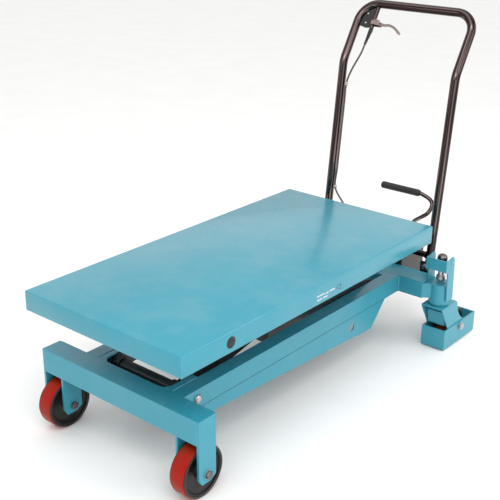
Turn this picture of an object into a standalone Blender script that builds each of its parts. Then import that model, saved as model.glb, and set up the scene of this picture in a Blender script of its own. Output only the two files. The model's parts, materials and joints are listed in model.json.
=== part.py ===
"""Mobile scissor lift table with a foot pump, built from separate pieces.

Metres, +Z up. +X runs from the deck's front edge towards the push handle, and +Y to the side of the
release lever. Heights are above the floor, and distances along X are measured from the deck's front
edge. Everything hangs on one empty that brings the middle of the whole table to the origin.
"""
import math

import bmesh
import bpy
from mathutils import Matrix, Vector

# ---------------------------------------------------------------- driving sizes
GAP = 0.0003                      # between pieces that touch
RUNNING = 0.0003                  # radial clearance of a shaft in its bore
SIDES = {"right": -1, "left": 1}  # side name to the sign of Y

DECK_LENGTH = 1.0
DECK_WIDTH = 0.498
DECK_TOP = 0.3755
DECK_FLANGE = 0.051
DECK_SKIN = 0.003
DECK_EDGE_RADIUS = 0.003
PLUG_X = 0.1526
PLUG_Z = 0.3498
PLUG_RADIUS = 0.0125

FRAME_TOP = 0.206
RAIL_WALL = 0.004
DECK_RAIL_WALL = 0.003
RAIL_OUTER_Y = 0.160
RAIL_FLANGE = 0.039
ROLLER_RADIUS = 0.0202
ROLLER_PLAY = 0.0003
STIFFENER_FRONT = 0.134           # lower edge of the rail's stiffening plate, in front and at its lowest
STIFFENER_LOW = 0.0885
DRAIN_HOLE = (0.758, 0.1275)
DRAIN_HOLE_RADIUS = 0.0115

CROSSBAR_FRONT = 0.042
CROSSBAR_DEPTH = 0.056
CROSSBAR_HEIGHT = 0.0605
CROSSBAR_WALL = 0.004
FILLER_END = 0.185                # the front strips beside the channels end here
FILLER_WIDTH = 0.017
INNER_CORNER_RADIUS = 0.012

FORK_PLATE = 0.006
FORK_OUTER_Y = 0.255
FORK_INNER_Y = 0.186
FORK_BOTTOM = 0.044
FORK_NOSE = 0.0155                # chamfer height of the plates' front corner

FRONT_WHEEL_RADIUS = 0.0635
FRONT_WHEEL_WIDTH = 0.045
FRONT_AXLE_X = 0.0706
TREAD_THICKNESS = 0.009
RIM_WIDTH = 0.003                 # core rims on both sides of the tread
RIM_STEP = 0.002                  # tread stands this far out of the rims
RIM_DEPTH = 0.012

BEAM_SETBACK = 0.010              # beam's front face ahead of the deck's rear edge
BEAM_DEPTH = 0.070
BEAM_FRONT = DECK_LENGTH - BEAM_SETBACK
BEAM_REAR = BEAM_FRONT + BEAM_DEPTH
BEAM_WALL = 0.004

PIVOT_X = 0.142                   # both front pivots of the scissor
ARM_LENGTH = 0.80                 # pivot to roller
ARM_THICKNESS = 0.010
ARM_HALF_DEPTH = 0.029
ARM_END_RADIUS = 0.0205
ARM_TAPER = 0.130
INNER_ARM_Y = 0.104               # outer faces of the arms
OUTER_ARM_Y = 0.118
ROLLER_WIDTH = 0.024
ROLLER_INNER_Y = 0.1225
ROLLER_HUB_RADIUS = 0.012
STUB_RADIUS = 0.007
PIVOT_PIN_RADIUS = 0.010
CENTRE_PIN_RADIUS = 0.009
CROSS_TUBE_RADIUS = 0.016
COLLAR_RADIUS = 0.020
STAY_RADIUS = 0.0125              # tubes between the outer arms
FRONT_STAY = 0.075                # from the outer arms' front pin
COLLAR_WIDTH = 0.014

ROD_PIN_X = 0.360                 # cross tube that the rod pushes, at rest
ANCHOR_X = BEAM_FRONT - 0.035     # cylinder's rear pin
ANCHOR_Z = 0.1335
ANCHOR_PIN_RADIUS = 0.008
ANCHOR_LUG_Y = 0.0195
ANCHOR_LUG = 0.006
BARREL_RADIUS = 0.033
BARREL_BORE = 0.027
BARREL_CLEARANCE = 0.009            # to the outer arms' rear tube
BARREL_START = 0.045
ROD_SHOWING = 0.1675              # from the barrel's mouth to the rod's pin
BARREL_EYE_RADIUS = 0.019
ROD_RADIUS = 0.013
ROD_LENGTH = 0.380
ROD_EYE_RADIUS = 0.024
TANK_START = 0.150
TANK_MARGIN = 0.010               # tank's end behind the barrel's mouth
TANK_HALF_WIDTH = 0.052
TANK_DEPTH = 0.068

CASTOR_X = BEAM_FRONT + 0.042
CASTOR_Y = 0.270
CASTOR_TRAIL = 0.075
CASTOR_WHEEL_RADIUS = 0.050
CASTOR_WHEEL_WIDTH = 0.038
HOUSING_RADIUS = 0.029
HOUSING_BOTTOM = 0.1425
HOUSING_TOP = 0.2025
STEM_RADIUS = 0.013
STEM_TOP = 0.2055
FORK_TOP = 0.1385
CASTOR_SHEET = 0.004
GUARD_FRONT = CASTOR_X - 0.016
GUARD_REAR = CASTOR_X + 0.164
GUARD_HALF_WIDTH = 0.037
GUARD_BOTTOM = 0.005
GUARD_TOP = 0.0645
YOKE_TOP = 0.2865
YOKE_PANEL_BOTTOM = 0.2475
YOKE_BOTTOM = 0.156
YOKE_FACE = 0.032                 # outer faces of the yoke, from the swivel's axis
YOKE_FRONT = CASTOR_X - 0.033
YOKE_REAR = CASTOR_X + 0.015
PUSH_ROD_RADIUS = 0.006
SHOE_CLEARANCE = 0.006
SHOE_HALF_WIDTH = 0.026
PLUNGER_HEAD_RADIUS = 0.0145
PLUNGER_ROD_RADIUS = 0.0105
PLUNGER_COLLAR_RADIUS = 0.013
PLUNGER_TOP = 0.2895

TUBE_RADIUS = 0.0125              # push handle
HANDLE_HALF_WIDTH = 0.187
HANDLE_FOOT = (BEAM_REAR + 0.0491, 0.1785)          # X and Z of points down the middle of a leg
HANDLE_KINK = (HANDLE_FOOT[0] + 0.0623, 0.753)
HANDLE_TOP = (HANDLE_KINK[0] + 0.0948, 0.9111)
HANDLE_CORNER_RADIUS = 0.060
HANDLE_KINK_RADIUS = 0.070
BRACE_Z = 0.235
BRACE_RADIUS = 0.009
BRACKET_PLATE = 0.004
BRACKET_HALF_WIDTH = 0.018
BRACKET_BOTTOM = 0.158
BRACKET_SHELF = 0.184
BRACKET_TOP = 0.2225
HANDLE_BOLT_Z = 0.2065
HANDLE_BOLT_RADIUS = 0.005

PUMP_REAR = BEAM_REAR + 0.125
PUMP_Y = -0.080
PUMP_HALF_WIDTH = 0.045
PUMP_BOTTOM = 0.1445
PUMP_TOP = 0.2245
PEDAL_PIVOT = (BEAM_REAR + 0.085, 0.2505)
PEDAL_PIN_RADIUS = 0.005
PEDAL_EYE_RADIUS = 0.011
PEDAL_EYE_HALF_WIDTH = 0.011
PEDAL_BAR_RADIUS = 0.0065
PEDAL_GRIP_RADIUS = 0.0112
PEDAL_GRIP_X = PEDAL_PIVOT[0] + 0.165
PEDAL_GRIP_Z = 0.3435
PEDAL_GRIP_SPAN = (-0.028, 0.110)
PISTON_X = PEDAL_PIVOT[0] + 0.023
PISTON_RADIUS = 0.007
PISTON_TOP = 0.2535
PISTON_LENGTH = 0.050
VALVE_PIVOT = (BEAM_REAR + 0.060, 0.1735)
VALVE_ARM = 0.036

LEVER_PIVOT_S = 0.122             # along the upper handle from its kink
LEVER_PIVOT_Y = 0.1285
STEM_Y = 0.1305                    # bright tube beside the gusset, over the lever
GUSSET_START = 0.109
GUSSET_THICKNESS = 0.004
CABLE_RADIUS = 0.0028
WELD_GAP = 0.0009                 # beside the faceted bends of the handle

# ---------------------------------------------------------------- sizes that follow
CROSSBAR_REAR = CROSSBAR_FRONT + CROSSBAR_DEPTH
CROSSBAR_BOTTOM = FRAME_TOP - CROSSBAR_HEIGHT
RAIL_END = BEAM_FRONT - GAP
TRACK = 2 * (ROLLER_RADIUS + ROLLER_PLAY)
RAIL_BOTTOM = FRAME_TOP - TRACK - 2 * RAIL_WALL
PIVOT_Z = FRAME_TOP - RAIL_WALL - TRACK / 2
DECK_RAIL_TOP = DECK_TOP - DECK_SKIN - GAP
DECK_PIVOT_Z = DECK_RAIL_TOP - DECK_RAIL_WALL - TRACK / 2
ARM_RISE = DECK_PIVOT_Z - PIVOT_Z
ARM_REACH = math.sqrt(ARM_LENGTH ** 2 - ARM_RISE ** 2)
ARM_ANGLE = math.atan2(ARM_RISE, ARM_REACH)
ROLLER_X = PIVOT_X + ARM_REACH
CENTRE_X = PIVOT_X + ARM_REACH / 2
CENTRE_Z = (PIVOT_Z + DECK_PIVOT_Z) / 2
ROD_PIN_Z = PIVOT_Z + (ROD_PIN_X - PIVOT_X) * math.tan(ARM_ANGLE)
CYLINDER = Vector((ROD_PIN_X - ANCHOR_X, 0, ROD_PIN_Z - ANCHOR_Z))
CYLINDER_LENGTH = CYLINDER.length
BARREL_END = CYLINDER_LENGTH - ROD_SHOWING
TANK_END = BARREL_END - TANK_MARGIN
CYLINDER_TILT = math.atan2(CYLINDER.z, -CYLINDER.x)
FRONT_WHEEL_Y = (FORK_OUTER_Y + FORK_INNER_Y) / 2
CASTOR_AXLE_X = CASTOR_X + CASTOR_TRAIL
OVERALL_FRONT = min(0.0, FRONT_AXLE_X - FRONT_WHEEL_RADIUS)
OVERALL_REAR = max(PEDAL_GRIP_X + PEDAL_GRIP_RADIUS, HANDLE_TOP[0] + TUBE_RADIUS)
MIDDLE_X = (OVERALL_FRONT + OVERALL_REAR) / 2
UPPER_HANDLE = Vector((HANDLE_TOP[0] - HANDLE_KINK[0], 0, HANDLE_TOP[1] - HANDLE_KINK[1])).normalized()
LOWER_HANDLE = Vector((HANDLE_KINK[0] - HANDLE_FOOT[0], 0, HANDLE_KINK[1] - HANDLE_FOOT[1])).normalized()
UPPER_LENGTH = math.dist(HANDLE_KINK, HANDLE_TOP)

# ---------------------------------------------------------------- scene, collections, materials
for stale in list(bpy.data.objects):
    bpy.data.objects.remove(stale, do_unlink=True)

PARTS = bpy.data.collections.new("scissor_lift_table")
CUTTERS = bpy.data.collections.new("cutters")
for collection in (PARTS, CUTTERS):
    bpy.context.scene.collection.children.link(collection)


def material(name, colour, roughness, metallic=0.0):
    """A Principled material in one colour."""
    made = bpy.data.materials.new(name)
    made.use_nodes = True
    shader = made.node_tree.nodes["Principled BSDF"]
    shader.inputs["Base Color"].default_value = (*colour, 1.0)
    shader.inputs["Roughness"].default_value = roughness
    shader.inputs["Metallic"].default_value = metallic
    made.diffuse_color = (*colour, 1.0)
    return made


TEAL = material("teal_paint", (0.12, 0.42, 0.53), 0.35)
BLACK = material("black_paint", (0.012, 0.011, 0.011), 0.45)
CHROME = material("chrome", (0.62, 0.58, 0.57), 0.12, 1.0)
ZINC = material("zinc_steel", (0.60, 0.58, 0.57), 0.32, 1.0)
DARK_STEEL = material("dark_steel", (0.14, 0.13, 0.13), 0.35, 1.0)
POLYURETHANE = material("polyurethane", (0.45, 0.030, 0.012), 0.38)
AMBER_TREAD = material("amber_polyurethane", (0.30, 0.07, 0.015), 0.45)
CAST_IRON = material("cast_core", (0.018, 0.017, 0.016), 0.5)
RUBBER = material("black_rubber", (0.016, 0.015, 0.016), 0.75)
LEVER_METAL = material("lever_alloy", (0.55, 0.45, 0.43), 0.3, 1.0)


def pivot(name, position, parent=None):
    """An empty at a joint, or at any point that pieces are placed from."""
    made = bpy.data.objects.new(name, None)
    PARTS.objects.link(made)
    base = ORIGIN_SHIFT if parent is None else FRAME_POSITIONS[parent.name]
    made.parent = parent
    made.location = Vector(position) - base
    FRAME_POSITIONS[name] = Vector(position)
    return made


FRAME_POSITIONS = {}
ORIGIN_SHIFT = Vector((MIDDLE_X, 0, 0))
BASE = pivot("base_frame", (0, 0, 0))


def mesh_object(name, mesh, body, where=(0, 0, 0), turn=(0, 0, 0), finish=None):
    """Put a mesh at a point of the table, as a piece of a body or, with no finish, as a cutter."""
    made = bpy.data.objects.new(name, mesh)
    (PARTS if finish else CUTTERS).objects.link(made)
    made.parent = body
    made.location = Vector(where) - FRAME_POSITIONS[body.name]
    made.rotation_euler = turn
    if finish:
        mesh.materials.append(finish)
    else:
        made.hide_render = True
        made.display_type = "WIRE"
    return made


def finished_mesh(name, bm):
    """Close a bmesh into a mesh with flat faces and smooth round ones."""
    mesh = bpy.data.meshes.new(name)
    bm.to_mesh(mesh)
    bm.free()
    mesh.shade_smooth()
    mesh.set_sharp_from_angle(angle=math.radians(35))
    return mesh


def box(name, low, high, body, finish=None):
    """A block between two corners."""
    low, high = Vector(low), Vector(high)
    bm = bmesh.new()
    bmesh.ops.create_cube(bm, size=1.0)
    bmesh.ops.scale(bm, vec=high - low, verts=bm.verts)
    return mesh_object(name, finished_mesh(name, bm), body, (low + high) / 2, finish=finish)


def block(name, size, body, where, turn, finish=None):
    """A block of a size, about a point and turned there."""
    bm = bmesh.new()
    bmesh.ops.create_cube(bm, size=1.0)
    bmesh.ops.scale(bm, vec=size, verts=bm.verts)
    return mesh_object(name, finished_mesh(name, bm), body, where, turn, finish)


def rod(name, radius, start, end, body, finish=None, segments=16):
    """A round bar from one point to another."""
    start, end = Vector(start), Vector(end)
    bm = bmesh.new()
    bmesh.ops.create_cone(bm, cap_ends=True, segments=segments, radius1=radius, radius2=radius,
                          depth=(end - start).length)
    turn = (end - start).to_track_quat("Z", "Y").to_euler()
    return mesh_object(name, finished_mesh(name, bm), body, (start + end) / 2, turn, finish)


def turned(name, profile, body, where, axis, finish, segments=16, ring=False):
    """A piece turned on a lathe. The profile's (radius, height) points run down its outer side."""
    bm = bmesh.new()
    points = [bm.verts.new((radius, 0, height)) for radius, height in profile]
    pairs = list(zip(points, points[1:]))
    if ring:
        pairs.append((points[-1], points[0]))
    for pair in pairs:
        bm.edges.new(pair)
    mesh = bpy.data.meshes.new(name)
    bm.to_mesh(mesh)
    bm.free()
    made = mesh_object(name, mesh, body, where, Vector(axis).to_track_quat("Z", "Y").to_euler(), finish)
    screw = made.modifiers.new("Turn", "SCREW")
    screw.steps = segments
    screw.render_steps = segments
    screw.use_merge_vertices = True
    screw.merge_threshold = 0.00001
    return made


def plate(name, outline, low_y, high_y, body, finish=None):
    """A flat plate with an outline of (x, z) points, between two values of Y."""
    curve = bpy.data.curves.new(name, "CURVE")
    curve.dimensions = "2D"
    curve.fill_mode = "BOTH"
    curve.extrude = (high_y - low_y) / 2
    spline = curve.splines.new("POLY")
    spline.points.add(len(outline) - 1)
    for point, (x, z) in zip(spline.points, outline):
        point.co = (x, z, 0, 1)
    spline.use_cyclic_u = True
    middle = Vector((0, (low_y + high_y) / 2, 0))
    return solid_from_curve(name, curve, body, middle, (math.pi / 2, 0, 0), finish)


def solid_from_curve(name, curve, body, where, turn, finish):
    """Turn a curve into a closed mesh with welded caps."""
    guide = bpy.data.objects.new(name + "_curve", curve)
    CUTTERS.objects.link(guide)
    depsgraph = bpy.context.evaluated_depsgraph_get()
    mesh = bpy.data.meshes.new_from_object(guide.evaluated_get(depsgraph))
    mesh.name = name
    bpy.data.objects.remove(guide, do_unlink=True)
    bpy.data.curves.remove(curve)
    bm = bmesh.new()
    bm.from_mesh(mesh)
    bmesh.ops.remove_doubles(bm, verts=bm.verts, dist=0.00001)
    bmesh.ops.recalc_face_normals(bm, faces=bm.faces)
    bm.to_mesh(mesh)
    bm.free()
    mesh.materials.clear()
    mesh.shade_smooth()
    mesh.set_sharp_from_angle(angle=math.radians(35))
    return mesh_object(name, mesh, body, where, turn, finish)


def tube(name, points, radius, body, finish=None, resolution=3):
    """A round bar or cable along points given in the table's frame."""
    curve = bpy.data.curves.new(name, "CURVE")
    curve.dimensions = "3D"
    curve.bevel_depth = radius
    curve.bevel_resolution = resolution
    curve.use_fill_caps = True
    spline = curve.splines.new("POLY")
    spline.points.add(len(points) - 1)
    origin = FRAME_POSITIONS[body.name]
    for point, place in zip(spline.points, points):
        point.co = (*(Vector(place) - origin), 1)
    return solid_from_curve(name, curve, body, origin, (0, 0, 0), finish)


def combine(piece, operation, tools):
    """Join tools to a piece, or cut them out of it."""
    for tool in tools:
        modifier = piece.modifiers.new(tool.name, "BOOLEAN")
        modifier.operation = operation
        modifier.object = tool
        modifier.solver = "EXACT"
    return piece


def join(piece, *tools):
    """Weld tools to a piece."""
    return combine(piece, "UNION", tools)


def cut(piece, *tools):
    """Cut tools out of a piece."""
    return combine(piece, "DIFFERENCE", tools)


def rounded_path(corners, radii, steps=6):
    """Points along straight runs with a round bend at each inner corner."""
    corners = [Vector(corner) for corner in corners]
    path = [corners[0]]
    for before, corner, after, radius in zip(corners, corners[1:], corners[2:], radii):
        back, ahead = (before - corner).normalized(), (after - corner).normalized()
        half = back.angle(ahead) / 2
        middle = corner + (back + ahead).normalized() * radius / math.sin(half)
        start = corner + back * radius / math.tan(half) - middle
        end = corner + ahead * radius / math.tan(half) - middle
        sweep = start.angle(end)
        sideways = (end - end.project(start)).normalized() * start.length
        for step in range(steps + 1):
            angle = sweep * step / steps
            path.append(middle + start * math.cos(angle) + sideways * math.sin(angle))
    path.append(corners[-1])
    return path


def smooth_path(knots, per_span):
    """Points on a Catmull-Rom curve through the knots."""
    knots = [Vector(knot) for knot in knots]
    ends = [2 * knots[0] - knots[1]] + knots + [2 * knots[-1] - knots[-2]]
    path = []
    for a, b, c, d in zip(ends, ends[1:], ends[2:], ends[3:]):
        for step in range(per_span):
            t = step / per_span
            path.append(0.5 * (2 * b + (c - a) * t + (2 * a - 5 * b + 4 * c - d) * t ** 2
                               + (3 * b - a - 3 * c + d) * t ** 3))
    path.append(knots[-1])
    return path


def arc(centre, radius, start_deg, end_deg, steps):
    """Points (x, z) on a circle's arc."""
    angles = [math.radians(start_deg + (end_deg - start_deg) * k / steps) for k in range(steps + 1)]
    return [(centre[0] + radius * math.cos(a), centre[1] + radius * math.sin(a)) for a in angles]


def across(sign, inner, outer):
    """Low and high Y of a piece between two distances from the middle plane, on one side."""
    return min(sign * inner, sign * outer), max(sign * inner, sign * outer)


# ---------------------------------------------------------------- base frame
def front_crossbar():
    """Folded channel, open below, with two plates at each end that hold a wheel."""
    channel_end = FORK_OUTER_Y - FORK_PLATE
    beam = box("front_crossbar", (CROSSBAR_FRONT, -channel_end, CROSSBAR_BOTTOM),
               (CROSSBAR_REAR, channel_end, FRAME_TOP), BASE, TEAL)
    wall = CROSSBAR_WALL
    cut(beam, box("crossbar_hollow", (CROSSBAR_FRONT + wall, -channel_end - wall, CROSSBAR_BOTTOM - wall),
                  (CROSSBAR_REAR - wall, channel_end + wall, FRAME_TOP - wall), BASE))
    front, rear = CROSSBAR_FRONT, CROSSBAR_REAR - 0.0015
    foot = [(front, FORK_BOTTOM + FORK_NOSE), (front + 0.010, FORK_BOTTOM), (rear - 0.018, FORK_BOTTOM),
            (rear, FORK_BOTTOM + 0.010)]
    tall = foot + [(rear, FRAME_TOP), (front, FRAME_TOP)]
    short = foot + [(rear, FRAME_TOP - wall / 2), (front, FRAME_TOP - wall / 2)]
    for side, sign in SIDES.items():
        low, high = across(sign, channel_end - 0.0005, FORK_OUTER_Y)
        join(beam, plate(f"fork_plate_outer_{side}", tall, low, high, BASE))
        low, high = across(sign, FORK_INNER_Y, FORK_INNER_Y + FORK_PLATE)
        join(beam, plate(f"fork_plate_inner_{side}", short, low, high, BASE))
        bore = rod(f"front_axle_bore_{side}", 0.006 + RUNNING,
                   (FRONT_AXLE_X, sign * (FORK_INNER_Y - 0.01), FRONT_WHEEL_RADIUS),
                   (FRONT_AXLE_X, sign * (FORK_OUTER_Y + 0.01), FRONT_WHEEL_RADIUS), BASE)
        cut(beam, bore)


def channel(name, length, front, top, wall, sign, body, finish=None):
    """A channel open towards the middle, with its web outside, that a roller runs in."""
    height = TRACK + 2 * wall
    low, high = across(sign, RAIL_OUTER_Y - RAIL_FLANGE, RAIL_OUTER_Y)
    outer = box(name, (front, low, top - height), (front + length, high, top), body, finish)
    low, high = across(sign, RAIL_OUTER_Y - RAIL_FLANGE - wall, RAIL_OUTER_Y - wall)
    hollow = box(name + "_hollow", (front - wall, low, top - height + wall),
                 (front + length + wall, high, top - wall), body)
    cut(outer, hollow)
    return outer


def side_rail(side, sign):
    """Roller channel of the base, with its stiffening plate and the strips that close its ends."""
    front = CROSSBAR_REAR + GAP
    rail = channel(f"side_rail_{side}", RAIL_END - front, front, FRAME_TOP, RAIL_WALL, sign, BASE, TEAL)
    inner_y = RAIL_OUTER_Y - RAIL_FLANGE
    strip_top, strip_bottom = FRAME_TOP, FRAME_TOP - RAIL_WALL
    for end, (start, stop) in {"front": (front, FILLER_END), "rear": (BEAM_FRONT - 0.028, RAIL_END)}.items():
        low, high = across(sign, inner_y - FILLER_WIDTH, inner_y + 0.0005)
        join(rail, box(f"filler_{end}_{side}", (start, low, strip_bottom), (stop, high, strip_top), BASE))
    bottom = RAIL_BOTTOM
    outline = [(front, bottom + 0.002), (front, STIFFENER_FRONT), (0.790, STIFFENER_LOW + 0.0035),
               (0.797, STIFFENER_LOW), (0.856, STIFFENER_LOW), (0.920, bottom - 0.001), (0.920, bottom + 0.002)]
    low, high = across(sign, RAIL_OUTER_Y - RAIL_WALL, RAIL_OUTER_Y)
    join(rail, plate(f"stiffener_{side}", outline, low, high, BASE))
    far = sign * (RAIL_OUTER_Y + 0.02)
    near = sign * (RAIL_OUTER_Y - 0.02)
    hole_x, hole_z = DRAIN_HOLE
    cut(rail, rod(f"drain_hole_{side}", DRAIN_HOLE_RADIUS, (hole_x, near, hole_z), (hole_x, far, hole_z), BASE))
    cut(rail, rod(f"pin_bore_{side}", PIVOT_PIN_RADIUS + RUNNING, (PIVOT_X, near, PIVOT_Z),
                  (PIVOT_X, far, PIVOT_Z), BASE))


def base_pivot_pin(side, sign):
    """Domed pin through the rail that the inner arm turns on."""
    head = RAIL_OUTER_Y + GAP
    tail = INNER_ARM_Y - ARM_THICKNESS
    shank = PIVOT_PIN_RADIUS
    dome = [(0, 0.006), (0.005, 0.0055), (0.009, 0.004), (0.0115, 0.0015), (0.0115, 0),
            (shank, 0), (shank, tail - head), (0, tail - head)]
    turned(f"base_pivot_pin_{side}", dome, BASE, (PIVOT_X, sign * head, PIVOT_Z), (0, sign, 0), ZINC, 16)


def front_axle(side, sign):
    """Bolt and nut through the two plates and the wheel."""
    head, shank, tip = 0.0095, 0.006, FORK_OUTER_Y - FORK_INNER_Y + 2 * GAP
    profile = [(0, 0.007), (0.0075, 0.007), (head, 0.005), (head, 0), (shank, 0), (shank, -tip),
               (head, -tip), (head, -tip - 0.007), (0, -tip - 0.007)]
    turned(f"front_axle_{side}", profile, BASE, (FRONT_AXLE_X, sign * (FORK_OUTER_Y + GAP), FRONT_WHEEL_RADIUS),
           (0, sign, 0), DARK_STEEL, 14)


def rear_crossbeam():
    """Folded channel, open below, that carries the swivel castors, the handle and the pump."""
    end = CASTOR_Y - YOKE_FACE - GAP
    beam = box("rear_crossbeam", (BEAM_FRONT, -end, RAIL_BOTTOM), (BEAM_REAR, end, FRAME_TOP), BASE, TEAL)
    wall = BEAM_WALL
    cut(beam, box("beam_hollow", (BEAM_FRONT + wall, -end - wall, RAIL_BOTTOM - wall),
                  (BEAM_REAR - wall, end + wall, FRAME_TOP - wall), BASE))


def castor_housing(side, sign):
    """Swivel bearing housing with the folded yoke that guards the brake plunger."""
    y = sign * CASTOR_Y
    housing = rod(f"castor_housing_{side}", HOUSING_RADIUS, (CASTOR_X, y, HOUSING_BOTTOM),
                  (CASTOR_X, y, HOUSING_TOP), BASE, TEAL, segments=28)
    sheet = CASTOR_SHEET
    ear = [(YOKE_FRONT, YOKE_PANEL_BOTTOM), (YOKE_FRONT + 0.012, YOKE_PANEL_BOTTOM - 0.004),
           (CASTOR_X - 0.015, YOKE_BOTTOM), (YOKE_REAR + 0.004, YOKE_BOTTOM), (YOKE_REAR, YOKE_PANEL_BOTTOM)]
    ear += [(YOKE_REAR - 0.002, YOKE_TOP - 0.010), (YOKE_REAR - 0.008, YOKE_TOP), (YOKE_REAR - 0.014, YOKE_TOP),
            (YOKE_FRONT + 0.014, YOKE_TOP - 0.005), (YOKE_FRONT, YOKE_TOP - 0.004)]
    for edge, offset in {"inner": -1, "outer": 1}.items():
        face = CASTOR_Y + offset * YOKE_FACE
        low, high = across(sign, face, face - offset * sheet)
        join(housing, plate(f"yoke_ear_{edge}_{side}", ear, low, high, BASE))
    panel = YOKE_FACE - sheet / 2
    join(housing, box(f"yoke_panel_{side}", (YOKE_FRONT + 0.0005, y - panel, YOKE_PANEL_BOTTOM + 0.0015),
                      (YOKE_FRONT + sheet, y + panel, YOKE_TOP - 0.0045), BASE))
    pin_x, pin_z = YOKE_REAR - 0.017, YOKE_TOP - 0.015
    pin_low, pin_high = across(sign, CASTOR_Y + YOKE_FACE - sheet / 2, CASTOR_Y + YOKE_FACE + 0.0025)
    join(housing, rod(f"yoke_rivet_{side}", 0.005, (pin_x, pin_low, pin_z), (pin_x, pin_high, pin_z), BASE,
                      segments=16))
    cut(housing, rod(f"stem_bore_{side}", STEM_RADIUS + RUNNING, (CASTOR_X, y, HOUSING_BOTTOM - 0.01),
                     (CASTOR_X, y, HOUSING_TOP + 0.01), BASE, segments=20))


def handle_bracket(side, sign):
    """Folded shelf behind the crossbeam that a handle leg is bolted to."""
    front = BEAM_REAR + GAP
    back = HANDLE_FOOT[0] - TUBE_RADIUS - 0.001
    wall = BRACKET_PLATE
    outline = [(front, BRACKET_BOTTOM), (front + wall, BRACKET_BOTTOM), (front + wall, BRACKET_SHELF),
               (back, BRACKET_SHELF), (back, BRACKET_TOP), (back - wall, BRACKET_TOP),
               (back - wall, BRACKET_SHELF + wall), (front + wall, BRACKET_SHELF + wall),
               (front + wall, FRAME_TOP - 0.003), (front, FRAME_TOP - 0.003)]
    low, high = across(sign, HANDLE_HALF_WIDTH - BRACKET_HALF_WIDTH, HANDLE_HALF_WIDTH + BRACKET_HALF_WIDTH)
    bracket = plate(f"handle_bracket_{side}", outline, low, high, BASE, BLACK)
    y, z = sign * HANDLE_HALF_WIDTH, HANDLE_BOLT_Z
    cut(bracket, rod(f"bracket_hole_{side}", HANDLE_BOLT_RADIUS + RUNNING, (back - 0.02, y, z),
                     (back + 0.02, y, z), BASE, segments=16))


def cylinder_anchor():
    """Two lugs and a pin behind the cylinder, on a plate against the crossbeam."""
    front = BEAM_FRONT - GAP
    anchor = box("cylinder_anchor", (front - 0.006, -0.042, ANCHOR_Z - 0.022), (front, 0.042, FRAME_TOP - 0.004),
                 BASE, TEAL)
    nose = arc((ANCHOR_X, ANCHOR_Z), 0.019, 90, 270, 10)
    outline = nose + [(front - 0.003, ANCHOR_Z - 0.019), (front - 0.003, ANCHOR_Z + 0.040)]
    for side, sign in SIDES.items():
        low, high = across(sign, ANCHOR_LUG_Y, ANCHOR_LUG_Y + ANCHOR_LUG)
        join(anchor, plate(f"anchor_lug_{side}", outline, low, high, BASE))
    reach = ANCHOR_LUG_Y + ANCHOR_LUG + 0.004
    join(anchor, rod("anchor_pin", ANCHOR_PIN_RADIUS, (ANCHOR_X, -reach, ANCHOR_Z), (ANCHOR_X, reach, ANCHOR_Z),
                     BASE, segments=20))


# ---------------------------------------------------------------- wheels
def wheel(name, body, centre, radius, width, bore, tread_finish):
    """A moulded tread between the rims of a dished cast core."""
    half, band = width / 2, width / 2 - RIM_WIDTH
    seat = radius - TREAD_THICKNESS
    tread = [(radius - 0.002, band), (radius, band - 0.003), (radius, 0.003 - band), (radius - 0.002, -band),
             (seat, -band), (seat, band)]
    turned(f"{name}_tread", tread, body, centre, (0, 1, 0), tread_finish, 32, ring=True)
    rim, inside, side = radius - RIM_STEP, seat - GAP, band + GAP
    dish, hub, web = rim - RIM_DEPTH, bore + 0.010, 0.006
    core = [(rim - 0.001, half), (rim, half - 0.001), (rim, side), (inside, side), (inside, -side), (rim, -side),
            (rim, 0.001 - half), (rim - 0.001, -half), (rim - 0.004, -half), (dish, 0.004 - half),
            (hub + 0.008, -web), (hub, -half - 0.002), (bore, -half - 0.002), (bore, half + 0.002),
            (hub, half + 0.002), (hub + 0.008, web), (dish, half - 0.004), (rim - 0.004, half)]
    turned(f"{name}_core", core, body, centre, (0, 1, 0), CAST_IRON, 26, ring=True)


def front_wheel(side, sign):
    """Fixed front wheel."""
    centre = (FRONT_AXLE_X, sign * FRONT_WHEEL_Y, FRONT_WHEEL_RADIUS)
    body = pivot(f"front_wheel_{side}_spin", centre, BASE)
    wheel(f"front_wheel_{side}", body, centre, FRONT_WHEEL_RADIUS, FRONT_WHEEL_WIDTH, 0.006 + RUNNING,
          POLYURETHANE)


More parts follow.
